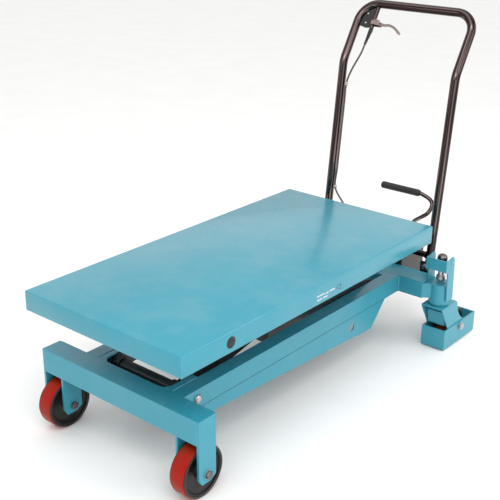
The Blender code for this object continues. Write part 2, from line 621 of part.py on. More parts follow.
def castor(side, sign):
    """Swivel fork with its foot guard, axle, wheel and brake shoe."""
    y = sign * CASTOR_Y
    swivel = pivot(f"castor_{side}_swivel", (CASTOR_X, y, HOUSING_BOTTOM), BASE)
    axle_z = CASTOR_WHEEL_RADIUS
    guard = box(f"castor_fork_{side}", (GUARD_FRONT, y - GUARD_HALF_WIDTH, GUARD_BOTTOM),
                (GUARD_REAR, y + GUARD_HALF_WIDTH, GUARD_TOP), swivel, TEAL)
    sheet = CASTOR_SHEET
    cut(guard, box(f"guard_hollow_{side}", (GUARD_FRONT + sheet, y - GUARD_HALF_WIDTH + sheet, GUARD_BOTTOM - 0.01),
                   (GUARD_REAR - sheet, y + GUARD_HALF_WIDTH - sheet, GUARD_TOP + 0.01), swivel))
    fork_front, fork_rear = CASTOR_X - 0.0365, CASTOR_X + 0.046
    fork_low = GUARD_TOP - 0.030
    cheek = [(fork_front, FORK_TOP), (fork_front, FORK_TOP - 0.004), (CASTOR_X + 0.004, GUARD_TOP + 0.003),
             (CASTOR_X + 0.022, fork_low), (CASTOR_AXLE_X + 0.037, fork_low)]
    cheek += arc((CASTOR_AXLE_X + 0.0604, FORK_TOP + 0.003), 0.085, 252.5, 186.5, 6)
    cheek += [(fork_rear, FORK_TOP)]
    inner = GUARD_HALF_WIDTH - sheet + 0.0008
    for edge, offset in {"inner": -1, "outer": 1}.items():
        low, high = sorted((y + offset * inner, y + offset * (inner - sheet)))
        join(guard, plate(f"fork_cheek_{edge}_{side}", cheek, low, high, swivel))
    join(guard, box(f"fork_crown_{side}", (fork_front, y - inner + 0.001, FORK_TOP - sheet),
                    (fork_rear, y + inner - 0.001, FORK_TOP), swivel))
    join(guard, rod(f"fork_race_{side}", HOUSING_RADIUS - 0.004, (CASTOR_X, y, FORK_TOP - 0.001),
                    (CASTOR_X, y, HOUSING_BOTTOM - GAP), swivel, segments=24))
    join(guard, rod(f"fork_stem_{side}", STEM_RADIUS, (CASTOR_X, y, FORK_TOP - 0.001),
                    (CASTOR_X, y, STEM_TOP), swivel, segments=20))
    cut(guard, rod(f"push_rod_bore_{side}", PUSH_ROD_RADIUS + RUNNING, (CASTOR_X, y, FORK_TOP - 0.03),
                   (CASTOR_X, y, STEM_TOP + 0.01), swivel, segments=14))
    cut(guard, rod(f"castor_axle_bore_{side}", 0.006 + RUNNING, (CASTOR_AXLE_X, y - 0.06, axle_z),
                   (CASTOR_AXLE_X, y + 0.06, axle_z), swivel, segments=14))

    tip = 2 * (GUARD_HALF_WIDTH + GAP)
    profile = [(0, 0.008), (0.007, 0.008), (0.010, 0.006), (0.010, 0), (0.006, 0), (0.006, -tip),
               (0.009, -tip), (0.009, -tip - 0.007), (0, -tip - 0.007)]
    turned(f"castor_axle_{side}", profile, swivel,
           (CASTOR_AXLE_X, y + sign * (GUARD_HALF_WIDTH + GAP), axle_z), (0, sign, 0), ZINC, 14)

    centre = (CASTOR_AXLE_X, y, axle_z)
    spin = pivot(f"castor_wheel_{side}_spin", centre, swivel)
    wheel(f"castor_wheel_{side}", spin, centre, CASTOR_WHEEL_RADIUS, CASTOR_WHEEL_WIDTH, 0.006 + RUNNING,
          AMBER_TREAD)

    shoe_body = pivot(f"brake_shoe_{side}_slide", (CASTOR_X, y, STEM_TOP), swivel)
    near = CASTOR_WHEEL_RADIUS + SHOE_CLEARANCE
    ledge = FORK_TOP - 0.020
    skirt_end = GUARD_TOP + 0.010
    band = arc((CASTOR_AXLE_X, axle_z), near + sheet, 100, 128, 5) + arc((CASTOR_AXLE_X, axle_z), near, 128, 100, 5)
    bend = band[:6] + [(CASTOR_X + 0.014, ledge), (CASTOR_X - 0.014, ledge), (CASTOR_X - 0.004, skirt_end),
                       (CASTOR_X, skirt_end), (CASTOR_X - 0.0095, ledge - sheet), (CASTOR_X + 0.012, ledge - sheet)]
    shoe_half = SHOE_HALF_WIDTH
    shoe = plate(f"brake_shoe_{side}", bend + band[6:], y - shoe_half, y + shoe_half, shoe_body, TEAL)
    join(shoe, rod(f"shoe_rod_{side}", PUSH_ROD_RADIUS, (CASTOR_X, y, ledge - sheet / 2),
                   (CASTOR_X, y, STEM_TOP + 0.006), shoe_body, segments=12))

    plunger_foot = STEM_TOP + 0.006 + GAP
    head, neck = PLUNGER_HEAD_RADIUS, PLUNGER_ROD_RADIUS
    height = PLUNGER_TOP - plunger_foot
    collar = PLUNGER_COLLAR_RADIUS
    profile = [(0, height), (head * 0.45, height - 0.0012), (head * 0.85, height - 0.005), (head, height - 0.010),
               (head, height - 0.030), (neck, height - 0.033), (neck, 0.012), (collar, 0.011), (collar, 0), (0, 0)]
    plunger_body = pivot(f"brake_plunger_{side}_slide", (CASTOR_X, y, plunger_foot), BASE)
    turned(f"brake_plunger_{side}", profile, plunger_body, (CASTOR_X, y, plunger_foot), (0, 0, 1), DARK_STEEL, 18)


# ---------------------------------------------------------------- scissor arms
def arm_outline():
    """Flat arm along +X from its pivot, deep in the middle and narrow at both round ends."""
    slope = (ARM_HALF_DEPTH - ARM_END_RADIUS) / ARM_TAPER
    lean = math.degrees(math.asin(slope))
    outline = arc((0, 0), ARM_END_RADIUS, 90 + lean, 270 - lean, 6)
    outline += [(ARM_TAPER, -ARM_HALF_DEPTH), (ARM_LENGTH - ARM_TAPER, -ARM_HALF_DEPTH)]
    outline += arc((ARM_LENGTH, 0), ARM_END_RADIUS, -90 + lean, 90 - lean, 6)
    outline += [(ARM_LENGTH - ARM_TAPER, ARM_HALF_DEPTH), (ARM_TAPER, ARM_HALF_DEPTH)]
    return outline


def arm(name, sign, outer_y, start, tilt, body):
    """One flat arm from its pivot, tilted up or down, with its roller stub."""
    outline = []
    for x, z in arm_outline():
        point = Matrix.Rotation(tilt, 2) @ Vector((x, z))
        outline.append((start[0] + point.x, start[1] + point.y))
    low, high = across(sign, outer_y - ARM_THICKNESS, outer_y)
    piece = plate(name, outline, low, high, body, BLACK)
    end = (start[0] + ARM_LENGTH * math.cos(tilt), start[1] + ARM_LENGTH * math.sin(tilt))
    stub_low, stub_high = across(sign, outer_y - ARM_THICKNESS / 2, ROLLER_INNER_Y + ROLLER_WIDTH + 0.002)
    join(piece, rod(name + "_stub", STUB_RADIUS, (end[0], stub_low, end[1]), (end[0], stub_high, end[1]), body,
                    segments=12))
    bore_low, bore_high = across(sign, outer_y - 0.02, outer_y + 0.01)
    cut(piece, rod(name + "_pivot_bore", PIVOT_PIN_RADIUS + RUNNING, (start[0], bore_low, start[1]),
                   (start[0], bore_high, start[1]), body))
    return piece


def roller(name, sign, arm_y, centre, parent):
    """Track roller with a hub that spaces it from its arm."""
    inner = ROLLER_INNER_Y
    spin = pivot(name + "_spin", (centre[0], sign * inner, centre[1]), parent)
    r, hub, bore = ROLLER_RADIUS, ROLLER_HUB_RADIUS, STUB_RADIUS + RUNNING
    profile = [(r - 0.001, ROLLER_WIDTH), (r, ROLLER_WIDTH - 0.001), (r, 0), (hub, 0),
               (hub, arm_y + GAP - inner), (bore, arm_y + GAP - inner), (bore, ROLLER_WIDTH)]
    turned(name, profile, spin, (centre[0], sign * inner, centre[1]), (0, sign, 0), DARK_STEEL, 18, ring=True)


def cross_tube(name, x, z, body, collars=False):
    """Round bar between the inner arms, or with collars at its ends."""
    reach = INNER_ARM_Y - ARM_THICKNESS - GAP
    bar = rod(name, CROSS_TUBE_RADIUS, (x, -reach, z), (x, reach, z), body, BLACK, segments=20)
    if collars:
        for side, sign in SIDES.items():
            join(bar, rod(f"{name}_collar_{side}", COLLAR_RADIUS, (x, sign * (reach - COLLAR_WIDTH), z),
                          (x, sign * reach, z), body, segments=20))
    return bar


def along_inner(distance):
    """Point (x, z) on the inner arms' middle line at rest, at a distance from their pivot."""
    return PIVOT_X + distance * math.cos(ARM_ANGLE), PIVOT_Z + distance * math.sin(ARM_ANGLE)


def along_outer(distance):
    """Point (x, z) on the outer arms' middle line at rest, at a distance from the deck pivot."""
    return PIVOT_X + distance * math.cos(ARM_ANGLE), DECK_PIVOT_Z - distance * math.sin(ARM_ANGLE)


def scissor():
    """Inner arms turn on the base, outer arms on the inner arms, and the deck on the outer arms."""
    inner = pivot("inner_arms_hinge", (PIVOT_X, 0, PIVOT_Z), BASE)
    outer = pivot("outer_arms_hinge", (CENTRE_X, 0, CENTRE_Z), inner)
    for side, sign in SIDES.items():
        piece = arm(f"inner_arm_{side}", sign, INNER_ARM_Y, (PIVOT_X, PIVOT_Z), ARM_ANGLE, inner)
        low, high = across(sign, INNER_ARM_Y - ARM_THICKNESS / 2, OUTER_ARM_Y + 0.006)
        join(piece, rod(f"centre_pin_{side}", CENTRE_PIN_RADIUS, (CENTRE_X, low, CENTRE_Z),
                        (CENTRE_X, high, CENTRE_Z), inner))
        roller(f"deck_roller_{side}", sign, INNER_ARM_Y, (ROLLER_X, DECK_PIVOT_Z), inner)
        piece = arm(f"outer_arm_{side}", sign, OUTER_ARM_Y, (PIVOT_X, DECK_PIVOT_Z), -ARM_ANGLE, outer)
        low, high = across(sign, OUTER_ARM_Y - 0.02, OUTER_ARM_Y + 0.01)
        cut(piece, rod(f"centre_bore_{side}", CENTRE_PIN_RADIUS + RUNNING, (CENTRE_X, low, CENTRE_Z),
                       (CENTRE_X, high, CENTRE_Z), outer))
        roller(f"base_roller_{side}", sign, OUTER_ARM_Y, (ROLLER_X, PIVOT_Z), outer)
    cross_tube("inner_front_tube", PIVOT_X, PIVOT_Z, inner, collars=True)
    cross_tube("rod_cross_tube", ROD_PIN_X, ROD_PIN_Z, inner)
    cross_tube("inner_rear_tube", *along_inner(ARM_LENGTH - 0.085), inner)
    reach = OUTER_ARM_Y - ARM_THICKNESS - GAP
    # the rear tube keeps its clearance above the barrel, whose tilt follows the base
    apart = BARREL_RADIUS + BARREL_CLEARANCE + STAY_RADIUS
    sine = math.sin(ARM_ANGLE - CYLINDER_TILT)
    start = (DECK_PIVOT_Z - ANCHOR_Z) * math.cos(CYLINDER_TILT) + (PIVOT_X - ANCHOR_X) * math.sin(CYLINDER_TILT)
    for name, distance in {"outer_front_tube": FRONT_STAY, "outer_rear_tube": (start - apart) / sine}.items():
        x, z = along_outer(distance)
        rod(name, STAY_RADIUS, (x, -reach, z), (x, reach, z), outer, BLACK, segments=16)
    return inner, outer


# ---------------------------------------------------------------- deck
def deck(outer):
    """Folded deck pan with the two channels that the inner arms' rollers run in."""
    body = pivot("deck_hinge", (PIVOT_X, 0, DECK_PIVOT_Z), outer)
    half, bottom = DECK_WIDTH / 2, DECK_TOP - DECK_FLANGE
    pan = box("deck", (0, -half, bottom), (DECK_LENGTH, half, DECK_TOP), body, TEAL)
    bevel = pan.modifiers.new("Folded edges", "BEVEL")
    bevel.width = DECK_EDGE_RADIUS
    bevel.segments = 2
    skin = DECK_SKIN
    cut(pan, box("deck_hollow", (skin, skin - half, bottom - 0.01), (DECK_LENGTH - skin, half - skin, DECK_TOP - skin),
                 body))
    for side, sign in SIDES.items():
        hole_low, hole_high = across(sign, half - 0.01, half + 0.01)
        cut(pan, rod(f"plug_hole_{side}", PLUG_RADIUS + GAP, (PLUG_X, hole_low, PLUG_Z), (PLUG_X, hole_high, PLUG_Z),
                     body))
        lip = PLUG_RADIUS + 0.0013
        plug = [(0, 0.0015), (PLUG_RADIUS, 0.0015), (lip, 0.0010), (lip, GAP), (PLUG_RADIUS, GAP),
                (PLUG_RADIUS, -0.006), (0, -0.006)]
        turned(f"deck_plug_{side}", plug, body, (PLUG_X, sign * half, PLUG_Z), (0, sign, 0), RUBBER, 16)
        rail = channel(f"deck_rail_{side}", 0.865, 0.100, DECK_RAIL_TOP, DECK_RAIL_WALL, sign, body, TEAL)
        low, high = across(sign, OUTER_ARM_Y - ARM_THICKNESS, RAIL_OUTER_Y - DECK_RAIL_WALL / 2)
        join(rail, rod(f"deck_pivot_pin_{side}", PIVOT_PIN_RADIUS, (PIVOT_X, low, DECK_PIVOT_Z),
                       (PIVOT_X, high, DECK_PIVOT_Z), body))


# ---------------------------------------------------------------- hydraulics
def along_cylinder(distance, offset=0.0):
    """Point on the cylinder's axis, or below it, at a distance from its rear pin."""
    ahead = CYLINDER.normalized()
    below = Vector((-math.sin(CYLINDER_TILT), 0, -math.cos(CYLINDER_TILT)))
    return Vector((ANCHOR_X, 0, ANCHOR_Z)) + ahead * distance + below * offset


def hydraulic_cylinder(inner):
    """Barrel with its oil tank on the base, and the rod on the inner arms' cross tube."""
    body = pivot("cylinder_hinge", (ANCHOR_X, 0, ANCHOR_Z), BASE)
    eye_half = ANCHOR_LUG_Y - 0.001
    barrel = rod("cylinder_barrel", BARREL_RADIUS, along_cylinder(BARREL_START), along_cylinder(BARREL_END), body,
                 BLACK, segments=24)
    join(barrel, rod("barrel_eye", BARREL_EYE_RADIUS, (ANCHOR_X, -eye_half, ANCHOR_Z),
                     (ANCHOR_X, eye_half, ANCHOR_Z), body, segments=20))
    turn = (0, CYLINDER_TILT, 0)
    join(barrel, block("barrel_neck", (BARREL_START, 2 * eye_half - 0.001, 2 * BARREL_EYE_RADIUS - 0.004), body,
                       along_cylinder(BARREL_START / 2 + 0.003), turn))
    middle = (TANK_START + TANK_END) / 2
    tank = block("oil_tank", (TANK_END - TANK_START, 2 * TANK_HALF_WIDTH, TANK_DEPTH), body,
                 along_cylinder(middle, TANK_DEPTH / 2), turn)
    join(barrel, tank)
    cut(barrel, rod("barrel_bore", BARREL_BORE, along_cylinder(BARREL_START + 0.016),
                    along_cylinder(BARREL_END + 0.02), body, segments=20))
    cut(barrel, rod("anchor_bore", ANCHOR_PIN_RADIUS + RUNNING, (ANCHOR_X, -0.03, ANCHOR_Z),
                    (ANCHOR_X, 0.03, ANCHOR_Z), body, segments=20))

    rod_body = pivot("rod_hinge", (ROD_PIN_X, 0, ROD_PIN_Z), inner)
    piece = rod("cylinder_rod", ROD_RADIUS, along_cylinder(CYLINDER_LENGTH - ROD_LENGTH),
                along_cylinder(CYLINDER_LENGTH - ROD_EYE_RADIUS / 2), rod_body, CHROME)
    join(piece, rod("rod_eye", ROD_EYE_RADIUS, (ROD_PIN_X, -0.020, ROD_PIN_Z), (ROD_PIN_X, 0.020, ROD_PIN_Z),
                    rod_body, segments=24))
    cut(piece, rod("rod_eye_bore", CROSS_TUBE_RADIUS + RUNNING, (ROD_PIN_X, -0.03, ROD_PIN_Z),
                   (ROD_PIN_X, 0.03, ROD_PIN_Z), rod_body, segments=20))


def pump():
    """Foot pump block on the crossbeam, with its pedal, piston and release valve."""
    front = BEAM_REAR + GAP
    low_y, high_y = PUMP_Y - PUMP_HALF_WIDTH, PUMP_Y + PUMP_HALF_WIDTH
    body = box("pump_body", (front, low_y, PUMP_BOTTOM), (PUMP_REAR, high_y, PUMP_TOP), BASE, BLACK)
    ear_inner = PEDAL_EYE_HALF_WIDTH + 0.001
    px, pz = PEDAL_PIVOT
    ear = arc((px, pz), 0.011, 0, 180, 8) + [(px - 0.011, PUMP_TOP - 0.002), (px + 0.011, PUMP_TOP - 0.002)]
    for offset in (-1, 1):
        low, high = sorted((PUMP_Y + offset * ear_inner, PUMP_Y + offset * (ear_inner + 0.006)))
        join(body, plate(f"pump_ear_{offset}", ear, low, high, BASE))
    reach = ear_inner + 0.008
    join(body, rod("pedal_pin", PEDAL_PIN_RADIUS, (px, PUMP_Y - reach, pz), (px, PUMP_Y + reach, pz), BASE,
                   segments=16))
    cut(body, rod("piston_bore", PISTON_RADIUS + RUNNING, (PISTON_X, PUMP_Y, PISTON_TOP - PISTON_LENGTH - 0.016),
                  (PISTON_X, PUMP_Y, PUMP_TOP + 0.01), BASE, segments=20))

    piston = pivot("pump_piston_slide", (PISTON_X, PUMP_Y, PISTON_TOP), BASE)
    rod("pump_piston", PISTON_RADIUS, (PISTON_X, PUMP_Y, PISTON_TOP - PISTON_LENGTH),
        (PISTON_X, PUMP_Y, PISTON_TOP), piston, ZINC, segments=20)

    pedal = pivot("pedal_hinge", (px, PUMP_Y, pz), BASE)
    grip_start, grip_end = PEDAL_GRIP_SPAN
    bar_end = grip_start + 0.010
    knots = [(px, PUMP_Y, pz), (px + 0.030, PUMP_Y, pz + 0.0184), (px + 0.050, PUMP_Y + 0.005, pz + 0.026),
             (px + 0.077, PUMP_Y + 0.016, pz + 0.0325), (PEDAL_GRIP_X - 0.049, PUMP_Y + 0.017, PEDAL_GRIP_Z - 0.0595),
             (PEDAL_GRIP_X - 0.025, PUMP_Y + 0.008, PEDAL_GRIP_Z - 0.0515),
             (PEDAL_GRIP_X - 0.012, PUMP_Y + 0.002, PEDAL_GRIP_Z - 0.0355),
             (PEDAL_GRIP_X - 0.003, PUMP_Y + 0.005, PEDAL_GRIP_Z - 0.0215),
             (PEDAL_GRIP_X + 0.002, PUMP_Y + 0.020, PEDAL_GRIP_Z - 0.0105),
             (PEDAL_GRIP_X, grip_start - 0.004, PEDAL_GRIP_Z)]
    bar_path = smooth_path(knots, 3) + [Vector((PEDAL_GRIP_X, bar_end, PEDAL_GRIP_Z))]
    bar = tube("pedal_lever", bar_path, PEDAL_BAR_RADIUS, pedal, CHROME, resolution=1)
    eye_half = PEDAL_EYE_HALF_WIDTH
    join(bar, rod("pedal_eye", PEDAL_EYE_RADIUS, (px, PUMP_Y - eye_half, pz), (px, PUMP_Y + eye_half, pz), pedal,
                  segments=24))
    cut(bar, rod("pedal_eye_bore", PEDAL_PIN_RADIUS + RUNNING, (px, PUMP_Y - 0.03, pz), (px, PUMP_Y + 0.03, pz),
                 pedal, segments=16))
    r, bore, length = PEDAL_GRIP_RADIUS, PEDAL_BAR_RADIUS + GAP, grip_end - grip_start
    seat = bar_end - grip_start + GAP
    profile = [(0, length), (r - 0.002, length), (r, length - 0.002), (r, 0.009), (r - 0.0015, 0.008),
               (r - 0.0015, 0), (bore, 0), (bore, seat), (0, seat)]
    turned("pedal_grip", profile, pedal, (PEDAL_GRIP_X, grip_start, PEDAL_GRIP_Z), (0, 1, 0), RUBBER, 16)

    vx, vz = VALVE_PIVOT
    face = high_y + GAP
    valve = pivot("release_valve_hinge", (vx, face, vz), BASE)
    outline = arc((vx, vz), 0.010, 95, 265, 8) + [(vx + VALVE_ARM, vz - 0.004)]
    outline += arc((vx + VALVE_ARM, vz + 0.0025), 0.0065, -90, 90, 6)
    plate("release_valve_lever", outline, face, face + 0.005, valve, ZINC)


# ---------------------------------------------------------------- push handle and its controls
def on_lower_handle(z):
    """X of a leg's middle at a height."""
    return HANDLE_FOOT[0] + (z - HANDLE_FOOT[1]) * LOWER_HANDLE.x / LOWER_HANDLE.z


def on_upper_handle(distance, y, lift=0.0):
    """Point of the upper handle's plane, at a distance from the kink, or lifted behind the plane."""
    outward = Vector((UPPER_HANDLE.z, 0, -UPPER_HANDLE.x))
    start = Vector((HANDLE_KINK[0], y, HANDLE_KINK[1]))
    return start + UPPER_HANDLE * distance + outward * lift


def push_handle():
    """One bent tube, braced between its legs."""
    y = HANDLE_HALF_WIDTH
    foot, kink, top = HANDLE_FOOT, HANDLE_KINK, HANDLE_TOP
    corners = [(foot[0], -y, foot[1]), (kink[0], -y, kink[1]), (top[0], -y, top[1]),
               (top[0], y, top[1]), (kink[0], y, kink[1]), (foot[0], y, foot[1])]
    radii = (HANDLE_KINK_RADIUS, HANDLE_CORNER_RADIUS, HANDLE_CORNER_RADIUS, HANDLE_KINK_RADIUS)
    tube("push_handle", rounded_path(corners, radii, 6), TUBE_RADIUS, BASE, CHROME, resolution=2)
    x = on_lower_handle(BRACE_Z)
    reach = y - TUBE_RADIUS - GAP
    rod("handle_brace", BRACE_RADIUS, (x, -reach, BRACE_Z), (x, reach, BRACE_Z), BASE, CHROME, segments=20)


def upper_handle_turn():
    """Rotation that lays a plate's X along the upper handle and its thickness across it."""
    along = UPPER_HANDLE
    across_bar = Vector((0, 1, 0))
    normal = along.cross(across_bar)
    return Matrix((along, across_bar, normal)).transposed().to_euler()


def flat_on_handle(name, outline, thickness, body, finish):
    """Plate in the upper handle's plane, with an outline of (distance, y) points."""
    curve = bpy.data.curves.new(name, "CURVE")
    curve.dimensions = "2D"
    curve.fill_mode = "BOTH"
    curve.extrude = thickness / 2
    spline = curve.splines.new("POLY")
    spline.points.add(len(outline) - 1)
    for point, (distance, y) in zip(spline.points, outline):
        point.co = (distance, y, 0, 1)
    spline.use_cyclic_u = True
    return solid_from_curve(name, curve, body, on_upper_handle(0, 0), upper_handle_turn(), finish)


def release_lever():
    """Gusset in the handle's corner, with the sprung hand lever, its boot and the cable to the pump."""
    corner = HANDLE_CORNER_RADIUS
    inside = corner - TUBE_RADIUS - WELD_GAP
    centre = (UPPER_LENGTH - corner, HANDLE_HALF_WIDTH - corner)
    bend = arc(centre, inside, 90, 3, 7)
    leg_y = HANDLE_HALF_WIDTH - TUBE_RADIUS - WELD_GAP
    outline = [(GUSSET_START + 0.002, leg_y)] + bend
    outline += [(GUSSET_START, STEM_Y - 0.002), (GUSSET_START - 0.003, 0.152)]
    bracket = flat_on_handle("lever_bracket", outline, GUSSET_THICKNESS, BASE, BLACK)
    stem_top = on_upper_handle(UPPER_LENGTH - TUBE_RADIUS - 0.0015, STEM_Y)
    stem_bottom = on_upper_handle(GUSSET_START - 0.0045, STEM_Y)
    join(bracket, rod("bracket_tube", 0.0055, stem_bottom, stem_top, BASE, segments=16))
    fork_low = on_upper_handle(LEVER_PIVOT_S, LEVER_PIVOT_Y, -0.0075)
    fork_high = on_upper_handle(LEVER_PIVOT_S, LEVER_PIVOT_Y, 0.0075)
    join(bracket, rod("lever_pin_boss", 0.003, fork_low, fork_high, BASE, segments=12))

    hinge = pivot("hand_lever_hinge", on_upper_handle(LEVER_PIVOT_S, LEVER_PIVOT_Y), BASE)
    s, y = LEVER_PIVOT_S, LEVER_PIVOT_Y
    spine = smooth_path([(s + 0.004, y - 0.0155, 0), (s - 0.002, y - 0.034, 0), (s - 0.0005, y - 0.054, 0),
                         (s - 0.007, y - 0.074, 0), (s - 0.024, y - 0.098, 0)], 4)
    half = 0.0042
    upper_edge = [(p.x + half, p.y) for p in spine]
    lower_edge = [(p.x - half, p.y) for p in reversed(spine)]
    hand_lever = flat_on_handle("hand_lever", upper_edge + lower_edge, 0.012, hinge, LEVER_METAL)
    knuckle_low, knuckle_high = on_upper_handle(s, y, -0.0125), on_upper_handle(s, y, 0.0125)
    for offset in (-1, 1):
        cheek = [(s - 0.006, y + 0.004), (s - 0.006, y - 0.024), (s + 0.010, y - 0.024), (s + 0.007, y + 0.004)]
        piece = flat_on_handle(f"lever_cheek_{offset}", cheek, 0.003, hinge, None)
        piece.location += (on_upper_handle(0, 0, offset * 0.0093) - on_upper_handle(0, 0))
        join(hand_lever, piece)
    join(hand_lever, block("lever_web", (0.014, 0.008, 0.0200), hinge, on_upper_handle(s + 0.002, y - 0.020),
                           upper_handle_turn()))
    cut(hand_lever, rod("lever_bore", 0.003 + RUNNING, knuckle_low, knuckle_high, hinge, segments=12))

    boot_top = on_upper_handle(GUSSET_START - 0.0055, STEM_Y)
    boot_end = on_upper_handle(0.055, STEM_Y + 0.0035)
    drop = boot_end - boot_top
    length = drop.length
    bore = CABLE_RADIUS + GAP
    profile = [(bore, 0), (0.0062, 0), (0.0062, -0.012), (0.0050, -0.016), (0.0055, -0.020), (0.0043, -0.034),
               (0.0036, -length), (bore, -length)]
    turned("cable_boot", profile, BASE, boot_top, tuple(-drop), RUBBER, 14, ring=True)
    cable_start = boot_top + drop * 0.35
    leg_x = on_lower_handle
    clip_y = leg_y - 0.0075
    clip_run = [(leg_x(z) - 0.004, clip_y, z) for z in (0.6845, 0.6285, 0.5285, 0.4285, 0.3685)]
    valve_end = (VALVE_PIVOT[0] + VALVE_ARM - 0.004, PUMP_Y + PUMP_HALF_WIDTH + 0.004, VALVE_PIVOT[1] + 0.032)
    knots = [cable_start, boot_end, boot_end + drop.normalized() * 0.030,
             (leg_x(0.7235) + 0.003, clip_y - 0.008, 0.7235)]
    knots += clip_run
    vx = VALVE_PIVOT[0]
    knots += [(vx - 0.0065, 0.131, 0.3335), (vx - 0.002, 0.098, 0.3005), (vx + 0.010, 0.045, 0.2785),
              (vx + 0.026, 0.002, 0.2585), (valve_end[0] + 0.002, valve_end[1] + 0.010, 0.2315), valve_end]
    tube("control_cable", smooth_path(knots, 3), CABLE_RADIUS, BASE, RUBBER, resolution=1)


# ---------------------------------------------------------------- assembly
front_crossbar()
rear_crossbeam()
cylinder_anchor()
for side_name, side_sign in SIDES.items():
    side_rail(side_name, side_sign)
    base_pivot_pin(side_name, side_sign)
    front_axle(side_name, side_sign)
    front_wheel(side_name, side_sign)
    castor_housing(side_name, side_sign)
    castor(side_name, side_sign)
    handle_bracket(side_name, side_sign)
inner_arms, outer_arms = scissor()
deck(outer_arms)
hydraulic_cylinder(inner_arms)
pump()
push_handle()
release_lever()
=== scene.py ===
"""Looks of a mobile scissor lift table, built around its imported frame.

Lengths are metres in the frame's own axes: +X from the deck's front edge to the push handle, +Y to the
side of the release lever, +Z up from the floor.
"""
import json
import logging
import math
from collections.abc import Sequence
from dataclasses import dataclass
from enum import Enum
from functools import cache

import bmesh
import bpy
from bmesh.types import BMesh
from bpy.types import Material, Node, NodeSocket, Object, ShaderNodeTree
from mathutils import Matrix, Vector


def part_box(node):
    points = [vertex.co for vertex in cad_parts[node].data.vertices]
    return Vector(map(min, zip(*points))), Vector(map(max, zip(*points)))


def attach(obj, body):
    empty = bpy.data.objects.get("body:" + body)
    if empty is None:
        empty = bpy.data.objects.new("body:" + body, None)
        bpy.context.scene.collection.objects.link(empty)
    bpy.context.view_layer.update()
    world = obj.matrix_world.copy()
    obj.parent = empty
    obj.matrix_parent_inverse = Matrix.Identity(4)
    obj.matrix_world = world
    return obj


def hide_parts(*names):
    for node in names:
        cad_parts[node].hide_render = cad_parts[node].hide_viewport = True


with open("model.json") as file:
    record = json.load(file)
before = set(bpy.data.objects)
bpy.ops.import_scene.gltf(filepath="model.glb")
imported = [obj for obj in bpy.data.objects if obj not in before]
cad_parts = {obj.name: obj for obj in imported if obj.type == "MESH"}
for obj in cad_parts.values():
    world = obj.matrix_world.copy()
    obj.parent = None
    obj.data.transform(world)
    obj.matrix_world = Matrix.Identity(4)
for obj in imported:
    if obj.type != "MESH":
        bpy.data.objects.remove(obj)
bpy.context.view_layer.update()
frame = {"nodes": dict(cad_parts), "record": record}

log = logging.getLogger("lift_table")
logging.basicConfig(level=logging.INFO, format="%(name)s: %(message)s")

Point = tuple[float, float, float]
Profile = Sequence[tuple[float, float]]


class Side(Enum):
    """Side of the table, with the sign of its Y."""

    RIGHT = -1
    LEFT = 1

    @property
    def word(self) -> str:
        """The side's name in node names."""
        return self.name.lower()


BODY_OF_NODE: dict[str, str] = {
    node: body for body, nodes in frame["record"]["behaviour"]["bodies"].items() for node in nodes
}
SLOT_OF_NODE: dict[str, str] = {
    part["node"]: part["material_slot"] for part in frame["record"]["subparts"]
}
DECK_FRONT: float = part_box("deck")[0][0]


def at(x: float, y: float, z: float) -> Vector:
    """A point whose X is measured from the deck's front edge."""
    return Vector((DECK_FRONT + x, y, z))


def extent(node: str) -> tuple[Vector, Vector]:
    """Middle and size of a node's box at rest."""
    low, high = (Vector(corner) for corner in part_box(node))
    return (low + high) / 2, high - low


# ------------------------------------------------------------------ shader helpers
class Bench:
    """Places and wires shader nodes in one tree."""

    def __init__(self, tree: ShaderNodeTree) -> None:
        """Work on a tree.

        Args:
            tree: the node tree of a material, a world or a group.
        """
        self.tree = tree

    def add(self, kind: str, **values: object) -> Node:
        """Place a node and fill in its sockets.

        Args:
            kind: the node's type name.
            values: socket name, with _ for a space, to a value or to another node's output.

        Returns:
            The new node.
        """
        node = self.tree.nodes.new(kind)
        for name, value in values.items():
            self.feed(node, name.replace("_", " "), value)
        return node

    def feed(self, node: Node, socket: str, value: object) -> None:
        """Link an output to a node's socket, or set the socket to a value."""
        target = node.inputs[socket]
        if isinstance(value, bpy.types.NodeSocket):
            self.tree.links.new(value, target)
        else:
            target.default_value = value

    def scaled(self, value: NodeSocket, low: float, high: float) -> NodeSocket:
        """Map a 0 to 1 value to a range and return the output."""
        ranged = self.add("ShaderNodeMapRange", Value=value, To_Min=low, To_Max=high)
        return ranged.outputs["Result"]

    def mixed(self, mask: NodeSocket, first: object, second: object) -> NodeSocket:
        """Mix two colours by a mask and return the output."""
        mix = self.tree.nodes.new("ShaderNodeMix")
        mix.data_type = "RGBA"
        self.tree.links.new(mask, mix.inputs["Factor"])
        sockets = [socket for socket in mix.inputs if socket.name in "AB" and socket.type == "RGBA"]
        for socket, value in zip(sockets, (first, second)):
            if isinstance(value, bpy.types.NodeSocket):
                self.tree.links.new(value, socket)
            else:
                socket.default_value = (*value, 1.0)
        return next(s for s in mix.outputs if s.type == "RGBA")


def make_group(name: str, inputs: dict[str, tuple[str, float]], outputs: Sequence[str]) -> ShaderNodeTree:
    """Make an empty shader group.

    Args:
        name: the group's name.
        inputs: socket name to its short type and default.
        outputs: names of float outputs.

    Returns:
        The group's tree.
    """
    tree = bpy.data.node_groups.new(name, "ShaderNodeTree")
    for socket, (kind, default) in inputs.items():
        made = tree.interface.new_socket(socket, in_out="INPUT", socket_type=f"NodeSocket{kind}")
        if kind == "Float":
            made.default_value = default
    for socket in outputs:
        tree.interface.new_socket(socket, in_out="OUTPUT", socket_type="NodeSocketFloat")
    return tree


